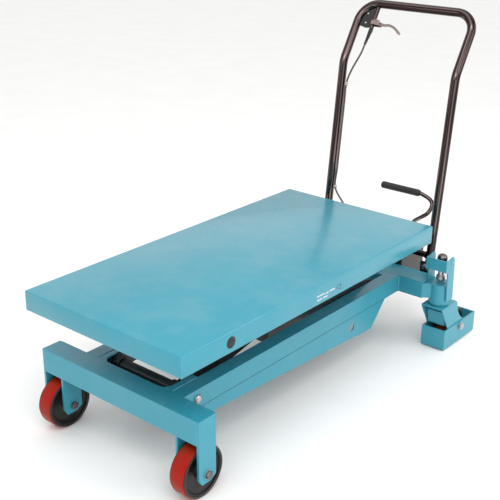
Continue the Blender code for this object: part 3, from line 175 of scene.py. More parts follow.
@cache
def relief_group() -> ShaderNodeTree:
    """Fine relief and broad patches that every coating shows.

    Returns:
        A group with a Height for bumps and a Patch mask from 0 to 1.
    """
    tree = make_group("surface_relief", {"Vector": ("Vector", 0), "Grain": ("Float", 300.0),
                                         "Patches": ("Float", 5.0)}, ("Height", "Patch"))
    bench = Bench(tree)
    given = bench.add("NodeGroupInput")
    result = bench.add("NodeGroupOutput")
    fine = bench.add("ShaderNodeTexNoise", Vector=given.outputs["Vector"], Scale=given.outputs["Grain"],
                     Detail=2.5)
    broad = bench.add("ShaderNodeTexNoise", Vector=given.outputs["Vector"], Scale=given.outputs["Patches"],
                      Detail=3.0, Roughness=0.55)
    patch = bench.add("ShaderNodeMapRange", Value=broad.outputs["Fac"], From_Min=0.36, From_Max=0.64)
    bench.feed(result, "Height", fine.outputs["Fac"])
    bench.feed(result, "Patch", patch.outputs["Result"])
    return tree


@cache
def dust_group() -> ShaderNodeTree:
    """Dust in faint specks and films, thickest on what faces up.

    Returns:
        A group with a Mask from 0 to its Amount.
    """
    tree = make_group("settled_dust", {"Vector": ("Vector", 0), "Amount": ("Float", 0.2)}, ("Mask",))
    bench = Bench(tree)
    given = bench.add("NodeGroupInput")
    result = bench.add("NodeGroupOutput")
    film = bench.add("ShaderNodeTexNoise", Vector=given.outputs["Vector"], Scale=9.0, Detail=6.0,
                     Roughness=0.7)
    shaped = bench.add("ShaderNodeMapRange", Value=film.outputs["Fac"], From_Min=0.45, From_Max=0.8)
    facing = bench.add("ShaderNodeSeparateXYZ", Vector=bench.add("ShaderNodeNewGeometry").outputs["Normal"])
    upward = bench.scaled(facing.outputs["Z"], 0.35, 1.0)
    spread = bench.tree.nodes.new("ShaderNodeMath")
    spread.operation = "MULTIPLY"
    bench.tree.links.new(shaped.outputs["Result"], spread.inputs[0])
    bench.tree.links.new(upward, spread.inputs[1])
    amount = bench.tree.nodes.new("ShaderNodeMath")
    amount.operation = "MULTIPLY"
    bench.tree.links.new(spread.outputs[0], amount.inputs[0])
    bench.tree.links.new(given.outputs["Amount"], amount.inputs[1])
    bench.feed(result, "Mask", amount.outputs[0])
    return tree


Colour = tuple[float, float, float]


@dataclass(frozen=True)
class Finish:
    """A coating or material with a patchy colour, a fine grain and a little dust."""

    name: str
    colour: Colour
    second: Colour
    roughness: tuple[float, float]
    metallic: float = 0.0
    grain: float = 300.0
    patches: float = 5.0
    bump: float = 0.1
    depth: float = 0.0002
    coat: float = 0.0
    coat_roughness: float = 0.1
    specular: float = 0.5
    dust: float = 0.0
    dust_colour: Colour = (0.42, 0.4, 0.37)

    @cache
    def material(self) -> Material:
        """The finish as a Principled material, built once.

        Returns:
            The material.
        """
        made = bpy.data.materials.new(self.name)
        made.use_nodes = True
        made.diffuse_color = (*self.colour, 1.0)
        bench = Bench(made.node_tree)
        shader = made.node_tree.nodes["Principled BSDF"]
        place = bench.add("ShaderNodeTexCoord").outputs["Object"]
        relief = bench.tree.nodes.new("ShaderNodeGroup")
        relief.node_tree = relief_group()
        bench.feed(relief, "Vector", place)
        bench.feed(relief, "Grain", self.grain)
        bench.feed(relief, "Patches", self.patches)
        patch = relief.outputs["Patch"]
        colour = bench.mixed(self.mask(bench, place, patch), self.colour, self.second)
        if self.dust:
            dust = bench.tree.nodes.new("ShaderNodeGroup")
            dust.node_tree = dust_group()
            bench.feed(dust, "Vector", place)
            bench.feed(dust, "Amount", self.dust)
            colour = bench.mixed(dust.outputs["Mask"], colour, self.dust_colour)
        bench.feed(shader, "Base Color", colour)
        bench.feed(shader, "Roughness", bench.scaled(patch, *self.roughness))
        bump = bench.add("ShaderNodeBump", Height=self.relief(bench, place, relief.outputs["Height"]),
                         Strength=self.bump, Distance=self.depth)
        bench.feed(shader, "Normal", bump.outputs["Normal"])
        shader.inputs["Metallic"].default_value = self.metallic
        shader.inputs["Specular IOR Level"].default_value = self.specular
        shader.inputs["Coat Weight"].default_value = self.coat
        shader.inputs["Coat Roughness"].default_value = self.coat_roughness
        return made

    def relief(self, bench: Bench, place: NodeSocket, grain: NodeSocket) -> NodeSocket:
        """Height that the bump reads: here only the grain."""
        return grain

    def mask(self, bench: Bench, place: NodeSocket, patch: NodeSocket) -> NodeSocket:
        """Mask from the first colour to the second: here only the patches."""
        return patch


@dataclass(frozen=True)
class PlatedFinish(Finish):
    """Bright plate whose colour holds a painted reflection of a dark room with windows: a painted dark tone
    and painted bright streaks that change round a bar.
    """

    def mask(self, bench: Bench, place: NodeSocket, patch: NodeSocket) -> NodeSocket:
        """Painted reflection streaks that follow the way the surface faces.

        Args:
            bench: where the nodes go.
            place: the pattern's coordinates.
            patch: the broad patches, which the streaks cover; not used.

        Returns:
            The output to mix the colours by.
        """
        # Painted reflection: the colour follows the surface's facing, with a little drift over the object.
        drift = bench.add("ShaderNodeMapping", Vector=place, Scale=(0.3, 0.3, 0.9)).outputs["Vector"]
        facing = bench.add("ShaderNodeNewGeometry").outputs["Normal"]
        both = bench.tree.nodes.new("ShaderNodeVectorMath")
        both.operation = "ADD"
        bench.tree.links.new(facing, both.inputs[0])
        bench.tree.links.new(drift, both.inputs[1])
        streaks = bench.add("ShaderNodeTexNoise", Vector=both.outputs["Vector"], Scale=2.6, Detail=2.0)
        return bench.add("ShaderNodeMapRange", Value=streaks.outputs["Fac"], From_Min=0.53,
                         From_Max=0.66).outputs["Result"]


@dataclass(frozen=True)
class KnurledFinish(Finish):
    """Moulded rubber with rows of small raised pips."""

    pips: float = 330.0

    def relief(self, bench: Bench, place: NodeSocket, grain: NodeSocket) -> NodeSocket:
        """Height of round pips.

        Args:
            bench: where the nodes go.
            place: the pattern's coordinates.
            grain: the fine grain's height, which the pips cover; not used.

        Returns:
            The output to bump by.
        """
        cells = bench.add("ShaderNodeTexVoronoi", Vector=place, Scale=self.pips, Randomness=0.15)
        return bench.scaled(cells.outputs["Distance"], 1.0, 0.0)


PAINT = Finish("teal_enamel", (0.03, 0.272, 0.365), (0.036, 0.288, 0.382), (0.24, 0.32), grain=420.0,
               patches=3.0, bump=0.16, depth=0.0003, coat=0.12, coat_roughness=0.1, specular=0.45,
               dust=0.24, dust_colour=(0.3, 0.42, 0.44))
# Dark teal painted shade for gaps and holes in the painted frame.
PAINTED_GAP_SHADE = Finish("teal_seam", (0.022, 0.11, 0.135), (0.03, 0.135, 0.16), (0.45, 0.6), grain=500.0, bump=0.1)
WELD = Finish("teal_weld", (0.036, 0.31, 0.41), (0.05, 0.34, 0.44), (0.24, 0.36), grain=650.0,
              patches=40.0, bump=0.3, depth=0.0004, coat=0.3)
BLACK = Finish("black_enamel", (0.0085, 0.0075, 0.0075), (0.016, 0.014, 0.014), (0.3, 0.46), grain=380.0,
               patches=9.0, bump=0.14, depth=0.0003, coat=0.2, dust=0.1, dust_colour=(0.09, 0.08, 0.075))
# Chrome's colours are a painted reflection: the first a dark tone for a mirrored dark room, the second
# painted bright streaks.
CHROME_PAINTED_REFLECTION = PlatedFinish("chrome_plate", (0.032, 0.021, 0.02), (0.22, 0.17, 0.165), (0.06, 0.12), 1.0,
                      grain=140.0, patches=14.0, bump=0.03, depth=0.0002, coat=0.1, coat_roughness=0.05)
ZINC = Finish("zinc_plate", (0.56, 0.52, 0.51), (0.44, 0.41, 0.4), (0.2, 0.36), 1.0, grain=700.0,
              patches=60.0, bump=0.08, dust=0.12, dust_colour=(0.2, 0.17, 0.15))
DARK_STEEL = Finish("oiled_steel", (0.13, 0.12, 0.12), (0.21, 0.19, 0.185), (0.22, 0.4), 1.0, grain=600.0,
                    patches=70.0, bump=0.1, dust=0.2, dust_colour=(0.05, 0.035, 0.03))
CRIMSON = Finish("crimson_urethane", (0.34, 0.005, 0.002), (0.26, 0.022, 0.003), (0.3, 0.42), grain=220.0,
                 patches=13.0, bump=0.1, depth=0.0003, specular=0.16, dust=0.14,
                 dust_colour=(0.16, 0.03, 0.008))
AMBER = Finish("amber_urethane", (0.3, 0.06, 0.012), (0.2, 0.032, 0.006), (0.3, 0.45), grain=220.0,
               patches=16.0, bump=0.1, depth=0.0003, specular=0.25, dust=0.2,
               dust_colour=(0.12, 0.03, 0.015))
CORE = Finish("black_core", (0.0085, 0.007, 0.0068), (0.02, 0.017, 0.016), (0.34, 0.55), grain=260.0,
              patches=24.0, bump=0.3, depth=0.0004, dust=0.22, dust_colour=(0.06, 0.045, 0.038))
RUBBER = Finish("black_rubber", (0.0095, 0.0085, 0.0088), (0.016, 0.014, 0.015), (0.48, 0.66), grain=520.0,
                patches=30.0, bump=0.2, depth=0.0003, dust=0.15, dust_colour=(0.06, 0.055, 0.055))
GRIP_RUBBER = KnurledFinish("pipped_rubber", (0.009, 0.008, 0.0085), (0.018, 0.016, 0.017), (0.42, 0.6),
                            patches=40.0, bump=0.9, depth=0.0007, dust=0.12, dust_colour=(0.07, 0.06, 0.06))
SHEATH = Finish("cable_sheath", (0.055, 0.04, 0.038), (0.09, 0.068, 0.064), (0.25, 0.42), grain=900.0,
                patches=80.0, bump=0.3, depth=0.0002)
ALLOY = Finish("lever_alloy", (0.4, 0.31, 0.3), (0.3, 0.225, 0.215), (0.24, 0.38), 1.0, grain=420.0,
               patches=45.0, bump=0.12, depth=0.0002, coat=0.15)
MARK_PALE = Finish("label_pale", (0.42, 0.52, 0.55), (0.5, 0.58, 0.6), (0.3, 0.4), grain=300.0, bump=0.05)
MARK_DARK = Finish("label_dark", (0.035, 0.075, 0.085), (0.05, 0.1, 0.11), (0.3, 0.45), grain=300.0,
                   bump=0.05)

FINISH_OF_SLOT: dict[str, Finish] = {"teal_paint": PAINT, "black_paint": BLACK, "chrome": CHROME_PAINTED_REFLECTION,
                                     "zinc_steel": ZINC, "dark_steel": DARK_STEEL, "polyurethane": CRIMSON,
                                     "amber_polyurethane": AMBER, "cast_core": CORE, "black_rubber": RUBBER,
                                     "lever_alloy": ALLOY,}


# ------------------------------------------------------------------ shaping
def turn_to(axis: Sequence[float], centre: Sequence[float]) -> Matrix:
    """Matrix that lays a shape's Z along an axis and moves its origin to a centre."""
    return Matrix.Translation(Vector(centre)) @ Vector(axis).to_track_quat("Z", "Y").to_matrix().to_4x4()


def lathe(profile: Profile, axis: Sequence[float], centre: Sequence[float], steps: int = 72,
          ring: bool = False) -> BMesh:
    """Turn a profile about an axis.

    Args:
        profile: (radius, height) points in order along the outline.
        axis: direction that heights run in.
        centre: where height is 0 on the axis.
        steps: facets round the axis.
        ring: whether the outline closes on itself, round an open bore.

    Returns:
        The turned shape.
    """
    bm = bmesh.new()
    points = [bm.verts.new((radius, 0.0, height)) for radius, height in profile]
    for first, second in zip(points, points[1:] + (points[:1] if ring else [])):
        bm.edges.new((first, second))
    bmesh.ops.spin(bm, geom=bm.verts[:] + bm.edges[:], cent=(0, 0, 0), axis=(0, 0, 1), angle=math.tau,
                   steps=steps, use_merge=True)
    bmesh.ops.remove_doubles(bm, verts=bm.verts, dist=0.000005)
    bmesh.ops.transform(bm, matrix=turn_to(axis, centre), verts=bm.verts)
    bmesh.ops.recalc_face_normals(bm, faces=bm.faces)
    return bm


def frames_along(path: Sequence[Vector]) -> list[Matrix]:
    """Turning-free frames along a path, with Z forwards.

    Args:
        path: points along the middle line.

    Returns:
        One matrix for each point.
    """
    ahead = (path[1] - path[0]).normalized()
    turn = ahead.to_track_quat("Z", "Y")
    frames = [Matrix.Translation(path[0]) @ turn.to_matrix().to_4x4()]
    for index in range(1, len(path)):
        following = path[min(index + 1, len(path) - 1)]
        tangent = ((following - path[index - 1])).normalized()
        turn = ahead.rotation_difference(tangent) @ turn
        ahead = tangent
        frames.append(Matrix.Translation(path[index]) @ turn.to_matrix().to_4x4())
    return frames


def sweep(path: Sequence[Vector], radii: Sequence[float], segments: int = 32, flatten: float = 1.0) -> BMesh:
    """Extrude a round or oval section along a path.

    Args:
        path: points along the middle line.
        radii: section radius at each point, or one for all.
        segments: facets round the section.
        flatten: the section's second axis over its first.

    Returns:
        The closed bar.
    """
    sizes = list(radii) * (len(path) if len(radii) == 1 else 1)
    bm = bmesh.new()
    bmesh.ops.create_circle(bm, cap_ends=True, segments=segments, radius=1.0)
    shapes = [turn @ Matrix.Diagonal((size, size * flatten, 1, 1)) for turn,
              size in zip(frames_along(path), sizes)]
    bmesh.ops.transform(bm, matrix=shapes[0], verts=bm.verts)
    rim = bm.edges[:]
    for before, after in zip(shapes, shapes[1:]):
        grown = bmesh.ops.extrude_edge_only(bm, edges=rim)["geom"]
        rim = [item for item in grown if isinstance(item, bmesh.types.BMEdge)]
        fresh = [item for item in grown if isinstance(item, bmesh.types.BMVert)]
        bmesh.ops.transform(bm, matrix=after @ before.inverted(), verts=fresh)
    bmesh.ops.contextual_create(bm, geom=rim)
    bmesh.ops.recalc_face_normals(bm, faces=bm.faces)
    return bm


def slab(outline: Sequence[Vector], depth: Vector) -> BMesh:
    """Extrude a flat outline through a depth and return the plate."""
    bm = bmesh.new()
    face = bm.faces.new([bm.verts.new(point) for point in outline])
    grown = bmesh.ops.extrude_face_region(bm, geom=[face])["geom"]
    bmesh.ops.translate(bm, vec=depth,
                        verts=[item for item in grown if isinstance(item, bmesh.types.BMVert)])
    bmesh.ops.recalc_face_normals(bm, faces=bm.faces)
    return bm


def hexagon(across: float, height: float, axis: Sequence[float], centre: Sequence[float]) -> BMesh:
    """A chamfered six-sided head or nut.

    Args:
        across: size between flats.
        height: thickness along the axis.
        axis: direction out of its seat.
        centre: middle of its seat.

    Returns:
        The head.
    """
    bm = bmesh.new()
    radius = across / math.sqrt(3)
    bmesh.ops.create_cone(bm, cap_ends=True, segments=6, radius1=radius, radius2=radius, depth=height)
    top = [edge for edge in bm.edges if all(vert.co.z > 0 for vert in edge.verts)]
    bmesh.ops.bevel(bm, geom=top, offset=height * 0.16, segments=2, affect="EDGES", profile=0.5,
                    material=-1)
    bmesh.ops.translate(bm, vec=(0, 0, height / 2), verts=bm.verts)
    bmesh.ops.transform(bm, matrix=turn_to(axis, centre), verts=bm.verts)
    return bm


def merged(*shapes: BMesh) -> BMesh:
    """Gather closed shapes into one mesh and free the rest."""
    whole = bmesh.new()
    for shape in shapes:
        part = bpy.data.meshes.new("part")
        shape.to_mesh(part)
        shape.free()
        whole.from_mesh(part)
        bpy.data.meshes.remove(part)
    return whole


def copied(node: str) -> BMesh:
    """A CAD node's shape with its loose triangles merged into flat faces."""
    bm = bmesh.new()
    bm.from_mesh(frame["nodes"][node].data)
    bmesh.ops.remove_doubles(bm, verts=bm.verts, dist=0.000005)
    bmesh.ops.dissolve_limit(bm, angle_limit=math.radians(0.4), verts=bm.verts, edges=bm.edges)
    return bm


def place(name: str, shape: BMesh, finish: Finish, body: str, replaced: Sequence[str] = (), edge: float = 0.0,
          smooth_deg: float = 38.0) -> Object:
    """Make a finished piece of a shape.

    Args:
        name: the piece's name.
        shape: the shape, in the frame's axes. It is freed.
        finish: its material.
        body: the CAD body that it moves with.
        replaced: CAD nodes that it stands for.
        edge: width of a rounding on its sharp edges.
        smooth_deg: edges sharper than this stay sharp.

    Returns:
        The piece.
    """
    mesh = bpy.data.meshes.new(name)
    shape.to_mesh(mesh)
    shape.free()
    mesh.shade_smooth()
    mesh.set_sharp_from_angle(angle=math.radians(smooth_deg))
    mesh.materials.append(finish.material())
    piece = bpy.data.objects.new(name, mesh)
    bpy.context.scene.collection.objects.link(piece)
    if edge:
        bevel = piece.modifiers.new("Rounded edges", "BEVEL")
        bevel.width = edge
        bevel.segments = 3
        bevel.limit_method = "ANGLE"
        bevel.angle_limit = math.radians(40)
        bevel.harden_normals = True
    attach(piece, body)
    if replaced:
        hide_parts(*replaced)
    log.info("%s on %s", name, body)
    return piece


def turned(name: str, profile: Profile, axis: Sequence[float], centre: Sequence[float], finish: Finish,
           body: str, steps: int = 48, ring: bool = False, replaced: Sequence[str] = (),
           smooth_deg: float = 38.0) -> Object:
    """Turn a profile about an axis and make a finished piece of it.

    Args:
        name: the piece's name.
        profile: (radius, height) points in order along the outline.
        axis: direction that heights run in.
        centre: where height is 0 on the axis.
        finish: its material.
        body: the CAD body that it moves with.
        steps: facets round the axis.
        ring: whether the outline closes on itself, round an open bore.
        replaced: CAD nodes that it stands for.
        smooth_deg: edges sharper than this stay sharp.

    Returns:
        The piece.
    """
    return place(name, lathe(profile, axis, centre, steps, ring), finish, body, replaced,
                 smooth_deg=smooth_deg)


def mirrored(half: Profile) -> list[tuple[float, float]]:
    """An outline and its mirror image below height 0, in order."""
    return [*half, *((radius, -height) for radius, height in reversed(half))]


def carry_over(node: str, name: str, edge: float = 0.0008, finish: Finish | None = None) -> Object:
    """A CAD node's shape with rounded edges and its slot's finish.

    Args:
        node: the CAD node.
        name: the new piece's name.
        edge: width of the rounding.
        finish: a finish in place of the slot's own.

    Returns:
        The piece.
    """
    return place(name, copied(node), finish or FINISH_OF_SLOT[SLOT_OF_NODE[node]], BODY_OF_NODE[node],
                 [node], edge)


def weld_bead(name: str, points: Sequence[Vector], body: str, radius: float = 0.0022,
              pitch: float = 0.0042) -> Object:
    """A painted weld with its ripples, along a line.

    Args:
        name: the bead's name.
        points: corners of the line.
        body: the CAD body that it moves with.
        radius: half the bead's width.
        pitch: length of one ripple.

    Returns:
        The bead.
    """
    path: list[Vector] = []
    radii: list[float] = []
    for start, end in zip(points, points[1:]):
        count = max(2, round((end - start).length / pitch) * 3)
        for step in range(count):
            path.append(start.lerp(end, step / count))
            radii.append(radius * (1.0, 0.86, 0.93)[step % 3])
    path.append(points[-1])
    radii.append(radius * 0.5)
    return place(name, sweep(path, radii, 8), WELD, body, smooth_deg=80)


def curve_through(knots: Sequence[Vector], per_span: int) -> list[Vector]:
    """Points on a Catmull-Rom curve through knots.

    Args:
        knots: points that the curve passes.
        per_span: points from one knot to the next.

    Returns:
        The points.
    """
    ends = [2 * knots[0] - knots[1], *knots, 2 * knots[-1] - knots[-2]]
    path: list[Vector] = []
    for a, b, c, d in zip(ends, ends[1:], ends[2:], ends[3:]):
        for step in range(per_span):
            t = step / per_span
            path.append(0.5 * (2 * b + (c - a) * t + (2 * a - 5 * b + 4 * c - d) * t * t
                               + (3 * b - a - 3 * c + d) * t ** 3))
    return [*path, knots[-1]]


def bent(corners: Sequence[Vector], radii: Sequence[float], steps: int) -> list[Vector]:
    """Straight runs with a round bend at each inner corner.

    Args:
        corners: ends and corners of the runs.
        radii: bend radius at each inner corner.
        steps: points round each bend.

    Returns:
        Points along the middle line.
    """
    path = [corners[0]]
    for before, corner, after, radius in zip(corners, corners[1:], corners[2:], radii):
        back, ahead = (before - corner).normalized(), (after - corner).normalized()
        half = back.angle(ahead) / 2
        middle = corner + (back + ahead).normalized() * radius / math.sin(half)
        start = corner + back * radius / math.tan(half) - middle
        end = corner + ahead * radius / math.tan(half) - middle
        sideways = (end - end.project(start)).normalized() * radius
        sweep_angle = start.angle(end)
        for step in range(steps + 1):
            angle = sweep_angle * step / steps
            path.append(middle + start * math.cos(angle) + sideways * math.sin(angle))
    return [*path, corners[-1]]


# ------------------------------------------------------------------ sub-assemblies
@dataclass
class Deck:
    """Folded deck pan with its channels, plugs and a plain data label."""

    seam_radius: float = 0.0013
    label_start: float = 0.462
    label_height: float = 0.3415

    def build(self) -> None:
        """Make the pan and everything fixed to it."""
        carry_over("deck", "deck_pan", 0.0012)
        for side in Side:
            carry_over(f"deck_rail_{side.word}", f"deck_channel_{side.word}", 0.0008)
            self.plug(side)
        self.corner_seams()
        self.label()

    def plug(self, side: Side) -> None:
        """Domed black plug in a flange's hole."""
        node = f"deck_plug_{side.word}"
        middle = extent(node)[0]
        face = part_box("deck")[0 if side is Side.RIGHT else 1][1]
        dome = [(0, 0.0015), (0.004, 0.00145), (0.009, 0.0012), (0.0125, 0.0008), (0.0138, 0.0003),
                (0.0134, 0.0001), (0.0125, 0.0001), (0.0125, -0.0058), (0, -0.0058)]
        turned(f"flange_plug_{side.word}", dome, (0, side.value, 0), (middle.x, face, middle.z), RUBBER,
               "platform", replaced=[node])

    def corner_seams(self) -> None:
        """Ground-back welds up the pan's four corners."""
        low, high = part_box("deck")
        inset = 0.0016
        for x, way_x in ((low[0], 1), (high[0], -1)):
            for y, way_y in ((low[1], 1), (high[1], -1)):
                corner = Vector((x + way_x * inset, y + way_y * inset, 0))
                line = [corner + Vector((0, 0, low[2] + 0.001)), corner + Vector((0, 0, high[2] - 0.003))]
                where = f"{'front' if way_x > 0 else 'rear'}_{'right' if way_y > 0 else 'left'}"
                weld_bead(f"pan_corner_weld_{where}", line, "platform", self.seam_radius, 0.006)

    def label(self) -> None:
        """Printed bars and a mark on the near flange, with no words."""
        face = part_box("deck")[0][1]
        bars = [(0.0, 0.004, 0.03), (0.034, 0.002, 0.012), (0.05, 0.003, 0.022), (0.0, -0.006, 0.02),
                (0.024, -0.006, 0.018)]
        shapes = []
        for start, drop, length in bars:
            x, z = self.label_start + start, self.label_height + drop
            corners = [at(x, face - 0.00012, z), at(x + length, face - 0.00012, z),
                       at(x + length, face - 0.00012, z + 0.0042), at(x, face - 0.00012, z + 0.0042)]
            shapes.append(slab(corners, Vector((0, 0.0002, 0))))
        place("flange_label_bars", merged(*shapes), MARK_PALE, "platform")
        shapes = []
        for x, z, width, height in ((0.08, 0.0, 0.004, 0.011), (0.088, -0.004, 0.012, 0.003),
                                    (0.09, 0.004, 0.01, 0.005)):
            left, base = self.label_start + x, self.label_height + z
            corners = [at(left, face - 0.00012, base), at(left + width, face - 0.00012, base),
                       at(left + width * 0.8, face - 0.00012, base + height),
                       at(left + width * 0.3, face - 0.00012, base + height)]
            shapes.append(slab(corners, Vector((0, 0.0002, 0))))
        place("flange_label_mark", merged(*shapes), MARK_DARK, "platform")


@dataclass
class BaseFrame:
    """Crossbar, side rails and rear crossbeam with their welds."""

    rail_outer_y: float = 0.16
    rail_inner_y: float = 0.121
    strip_inner_y: float = 0.104
    strip_end: float = 0.185
    crossbar_rear: float = 0.098
    frame_top: float = 0.206
    rail_bottom: float = 0.157
    corner_radius: float = 0.024
    swivel_x: float = 1.032
    swivel_y: float = 0.27
    housing_radius: float = 0.0288
    housing_top: float = 0.202

    def build(self) -> None:
        """Make the welded frame."""
        carry_over("front_crossbar", "front_crossbar_beam", 0.0022)
        carry_over("rear_crossbeam", "rear_crossbeam_beam", 0.0022)
        carry_over("cylinder_anchor", "cylinder_anchor_lugs", 0.0008)
        for side in Side:
            carry_over(f"side_rail_{side.word}", f"side_channel_{side.word}", 0.001)
            self.rail_seam(side)
            self.welds(side)
            self.corner_fillet(side)
            self.saddle(side)
            self.pivot_head(side)

    def rail_seam(self, side: Side) -> None:
        """Dark strip of painted shade on the gap where the stiffening plate meets the channel."""
        y = side.value * (self.rail_outer_y + 0.00005)
        z = self.rail_bottom + 0.0012
        line = [at(0.1005, y, z), at(0.5, y, z), at(0.915, y, z)]
        place(f"rail_joint_{side.word}", sweep(line, [0.00065], 8), PAINTED_GAP_SHADE, "base", smooth_deg=80)

    def welds(self, side: Side) -> None:
        """Beads where the rail meets both beams, and round the fork plates."""
        sign = side.value
        outer, top, bottom = self.rail_outer_y, self.frame_top, self.rail_bottom
        weld_bead(f"rail_front_weld_{side.word}",
                  [at(0.0985, sign * (outer - 0.0002), bottom + 0.002),
                   at(0.0985, sign * (outer - 0.0002), top - 0.004)], "base", 0.0024)
        weld_bead(f"rail_rear_weld_{side.word}",
                  [at(0.9893, sign * (outer + 0.0004), bottom + 0.001),
                   at(0.9893, sign * (outer + 0.0004), top - 0.003)], "base", 0.003)
        weld_bead(f"strip_weld_{side.word}",
                  [at(0.102, sign * self.rail_inner_y, top - 0.0002),
                   at(self.strip_end - 0.002, sign * self.rail_inner_y, top - 0.0002)], "base", 0.0016)
        weld_bead(f"fork_weld_{side.word}",
                  [at(0.0427, sign * 0.249, 0.1485), at(0.0427, sign * 0.249, top - 0.003)], "base", 0.0011,
                  0.005)
        weld_bead(f"fork_inner_weld_{side.word}",
                  [at(0.046, sign * 0.1858, 0.1455), at(0.094, sign * 0.1858, 0.1455)], "base", 0.002)

    def corner_fillet(self, side: Side) -> None:
        """Curved plate in the corner between the crossbar and the strip beside the rail."""
        sign = side.value
        radius, front, edge = self.corner_radius, self.crossbar_rear + 0.0001, self.strip_inner_y
        outline = [at(front, sign * (edge + 0.0001), self.frame_top - 0.0002)]
        for step in range(13):
            angle = math.radians(90 * step / 12)
            outline.append(at(front + radius - radius * math.sin(angle),
                              sign * (edge - radius + radius * math.cos(angle)), self.frame_top - 0.0002))
        place(f"corner_fillet_{side.word}", slab(outline, Vector((0, 0, -0.0038))), PAINT, "base",
              edge=0.0004)

    def saddle(self, side: Side) -> None:
        """Plate that closes the gap between the crossbeam's end and the round housing."""
        sign, low, high = side.value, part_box("rear_crossbeam")[0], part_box("rear_crossbeam")[1]
        end, centre = abs(high[1]) - 0.0002, Vector((DECK_FRONT + self.swivel_x, sign * self.swivel_y, 0))
        outline = [Vector((low[0] + 0.001, sign * end, 0)), Vector((high[0] - 0.001, sign * end, 0))]
        for step in range(13):
            angle = math.radians(205 + 130 * (12 - step) / 12)
            outline.append(centre + Vector((math.cos(angle), sign * math.sin(angle),
                                            0)) * self.housing_radius)
        base = Vector((0, 0, low[2] + 0.002))
        shape = slab([point + base for point in outline], Vector((0, 0, self.housing_top - base.z)))
        place(f"housing_saddle_{side.word}", shape, PAINT, "base", edge=0.0006)

    def pivot_head(self, side: Side) -> None:
        """Domed pin head on a washer, and a dark disc of painted shade for the grease hole behind it."""
        node = f"base_pivot_pin_{side.word}"
        low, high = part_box(node)
        sign = side.value
        tip = low[1] if sign < 0 else high[1]
        tail = high[1] if sign < 0 else low[1]
        depth = abs(tip - tail)
        middle = extent(node)[0]
        profile = [(0, 0), (0.0035, -0.0002), (0.007, -0.0011), (0.0098, -0.0028), (0.011, -0.0048),
                   (0.0114, -0.006), (0.01, -0.0061), (0.01, -depth), (0, -depth)]
        shape = lathe(profile, (0, sign, 0), (middle.x, tip, middle.z), 64)
        place(f"pivot_pin_{side.word}", shape, ZINC, "base", [node])
        face = sign * self.rail_outer_y
        washer = [(0.0116, 0.0013), (0.0136, 0.0012), (0.014, 0.0008), (0.014, 0.0001), (0.0116, 0.0001)]
        turned(f"pivot_washer_{side.word}", washer, (0, sign, 0), (middle.x, face, middle.z), PAINT, "base",
               56, ring=True)
        # The grease hole is a thin dark disc: painted shade in place of its recess.
        hole = [(0, 0.0002), (0.0014, 0.0002), (0.0017, 0.0001), (0.0017, -0.0004), (0, -0.0004)]
        turned(f"grease_hole_{side.word}", hole, (0, sign, 0), (middle.x + 0.0265, face, middle.z + 0.006),
               PAINTED_GAP_SHADE, "base", 20)


@dataclass
class Wheel:
    """A moulded tread on a dished core; its axle bolt is made apart."""

    prefix: str
    body: str
    tread_finish: Finish
    bore: float = 0.0063
    rim_width: float = 0.003
    rim_step: float = 0.002

    def build(self) -> None:
        """Turn the tread and the core."""
        tread_node, core_node = f"{self.prefix}_tread", f"{self.prefix}_core"
        centre, size = extent(tread_node)
        radius, half = size.x / 2, size.y / 2
        core_half = extent(core_node)[1].y / 2
        seat = radius - 0.009
        shoulder = []
        for step in range(6):
            angle = math.radians(90 * step / 5)
            shoulder.append((radius - 0.003 + 0.003 * math.sin(angle),
                             half - 0.003 + 0.003 * math.cos(angle)))
        outline = mirrored(shoulder) + [(seat, -half), (seat, half)]
        turned(f"{self.prefix}_tyre", outline, (0, 1, 0), centre, self.tread_finish, self.body, 96,
               ring=True, replaced=[tread_node], smooth_deg=50)
        rim, side, hub = radius - self.rim_step, half + self.rim_width, self.bore + 0.0105
        dish = [(rim - 0.0006, half + 0.0003), (rim, half + 0.0009), (rim, side - 0.001),
                (rim - 0.001, side), (rim - 0.0036, side), (rim - 0.0048, side - 0.001),
                (rim - 0.0065, side - 0.005), (rim - 0.0125, 0.0085), (rim - 0.016, 0.0068),
                (hub + 0.007, 0.0062), (hub + 0.002, 0.0085), (hub, half * 0.7),
                (hub - 0.0006, core_half - 0.001), (hub - 0.002, core_half), (self.bore, core_half)]
        inner = seat - 0.0003
        outline = mirrored(dish) + [(inner, -half - 0.0003), (inner, half + 0.0003)]
        turned(f"{self.prefix}_hub", outline, (0, 1, 0), centre, CORE, self.body, 80, ring=True,
               replaced=[core_node])


@dataclass
class AxleBolt:
    """Bolt through a wheel, with a washer and a six-sided head outside."""

    node: str
    name: str
    side: Side
    head_finish: Finish = DARK_STEEL
    across: float = 0.018

    def build(self) -> None:
        """Make the shank, washer, head and nut."""
        low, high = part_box(self.node)
        middle, size = extent(self.node)
        sign = self.side.value
        outer, inner = (low[1], high[1]) if sign < 0 else (high[1], low[1])
        length = abs(outer - inner)
        body = BODY_OF_NODE[self.node]
        shank = lathe([(0, 0), (0.0048, 0), (0.0055, -0.0008), (0.0055, 0.0008 - length), (0.0048, -length),
                       (0, -length)], (0, sign, 0), (middle.x, outer, middle.z), 32)
        seat = outer - sign * (0.007)
        head = hexagon(self.across, 0.0058, (0, sign, 0), (middle.x, seat + sign * 0.0009, middle.z))
        nut = hexagon(self.across, 0.0058, (0, -sign, 0), (middle.x, inner + sign * 0.0061, middle.z))
        place(self.name, merged(shank, head, nut), self.head_finish, body, [self.node], edge=0.0002)
        ring = [(0.0056, 0.001), (0.0112, 0.001), (0.0115, 0.0007), (0.0115, 0.0), (0.0056, 0.0)]
        turned(f"{self.name}_washer", ring, (0, sign, 0), (middle.x, seat, middle.z), ZINC, body, ring=True)


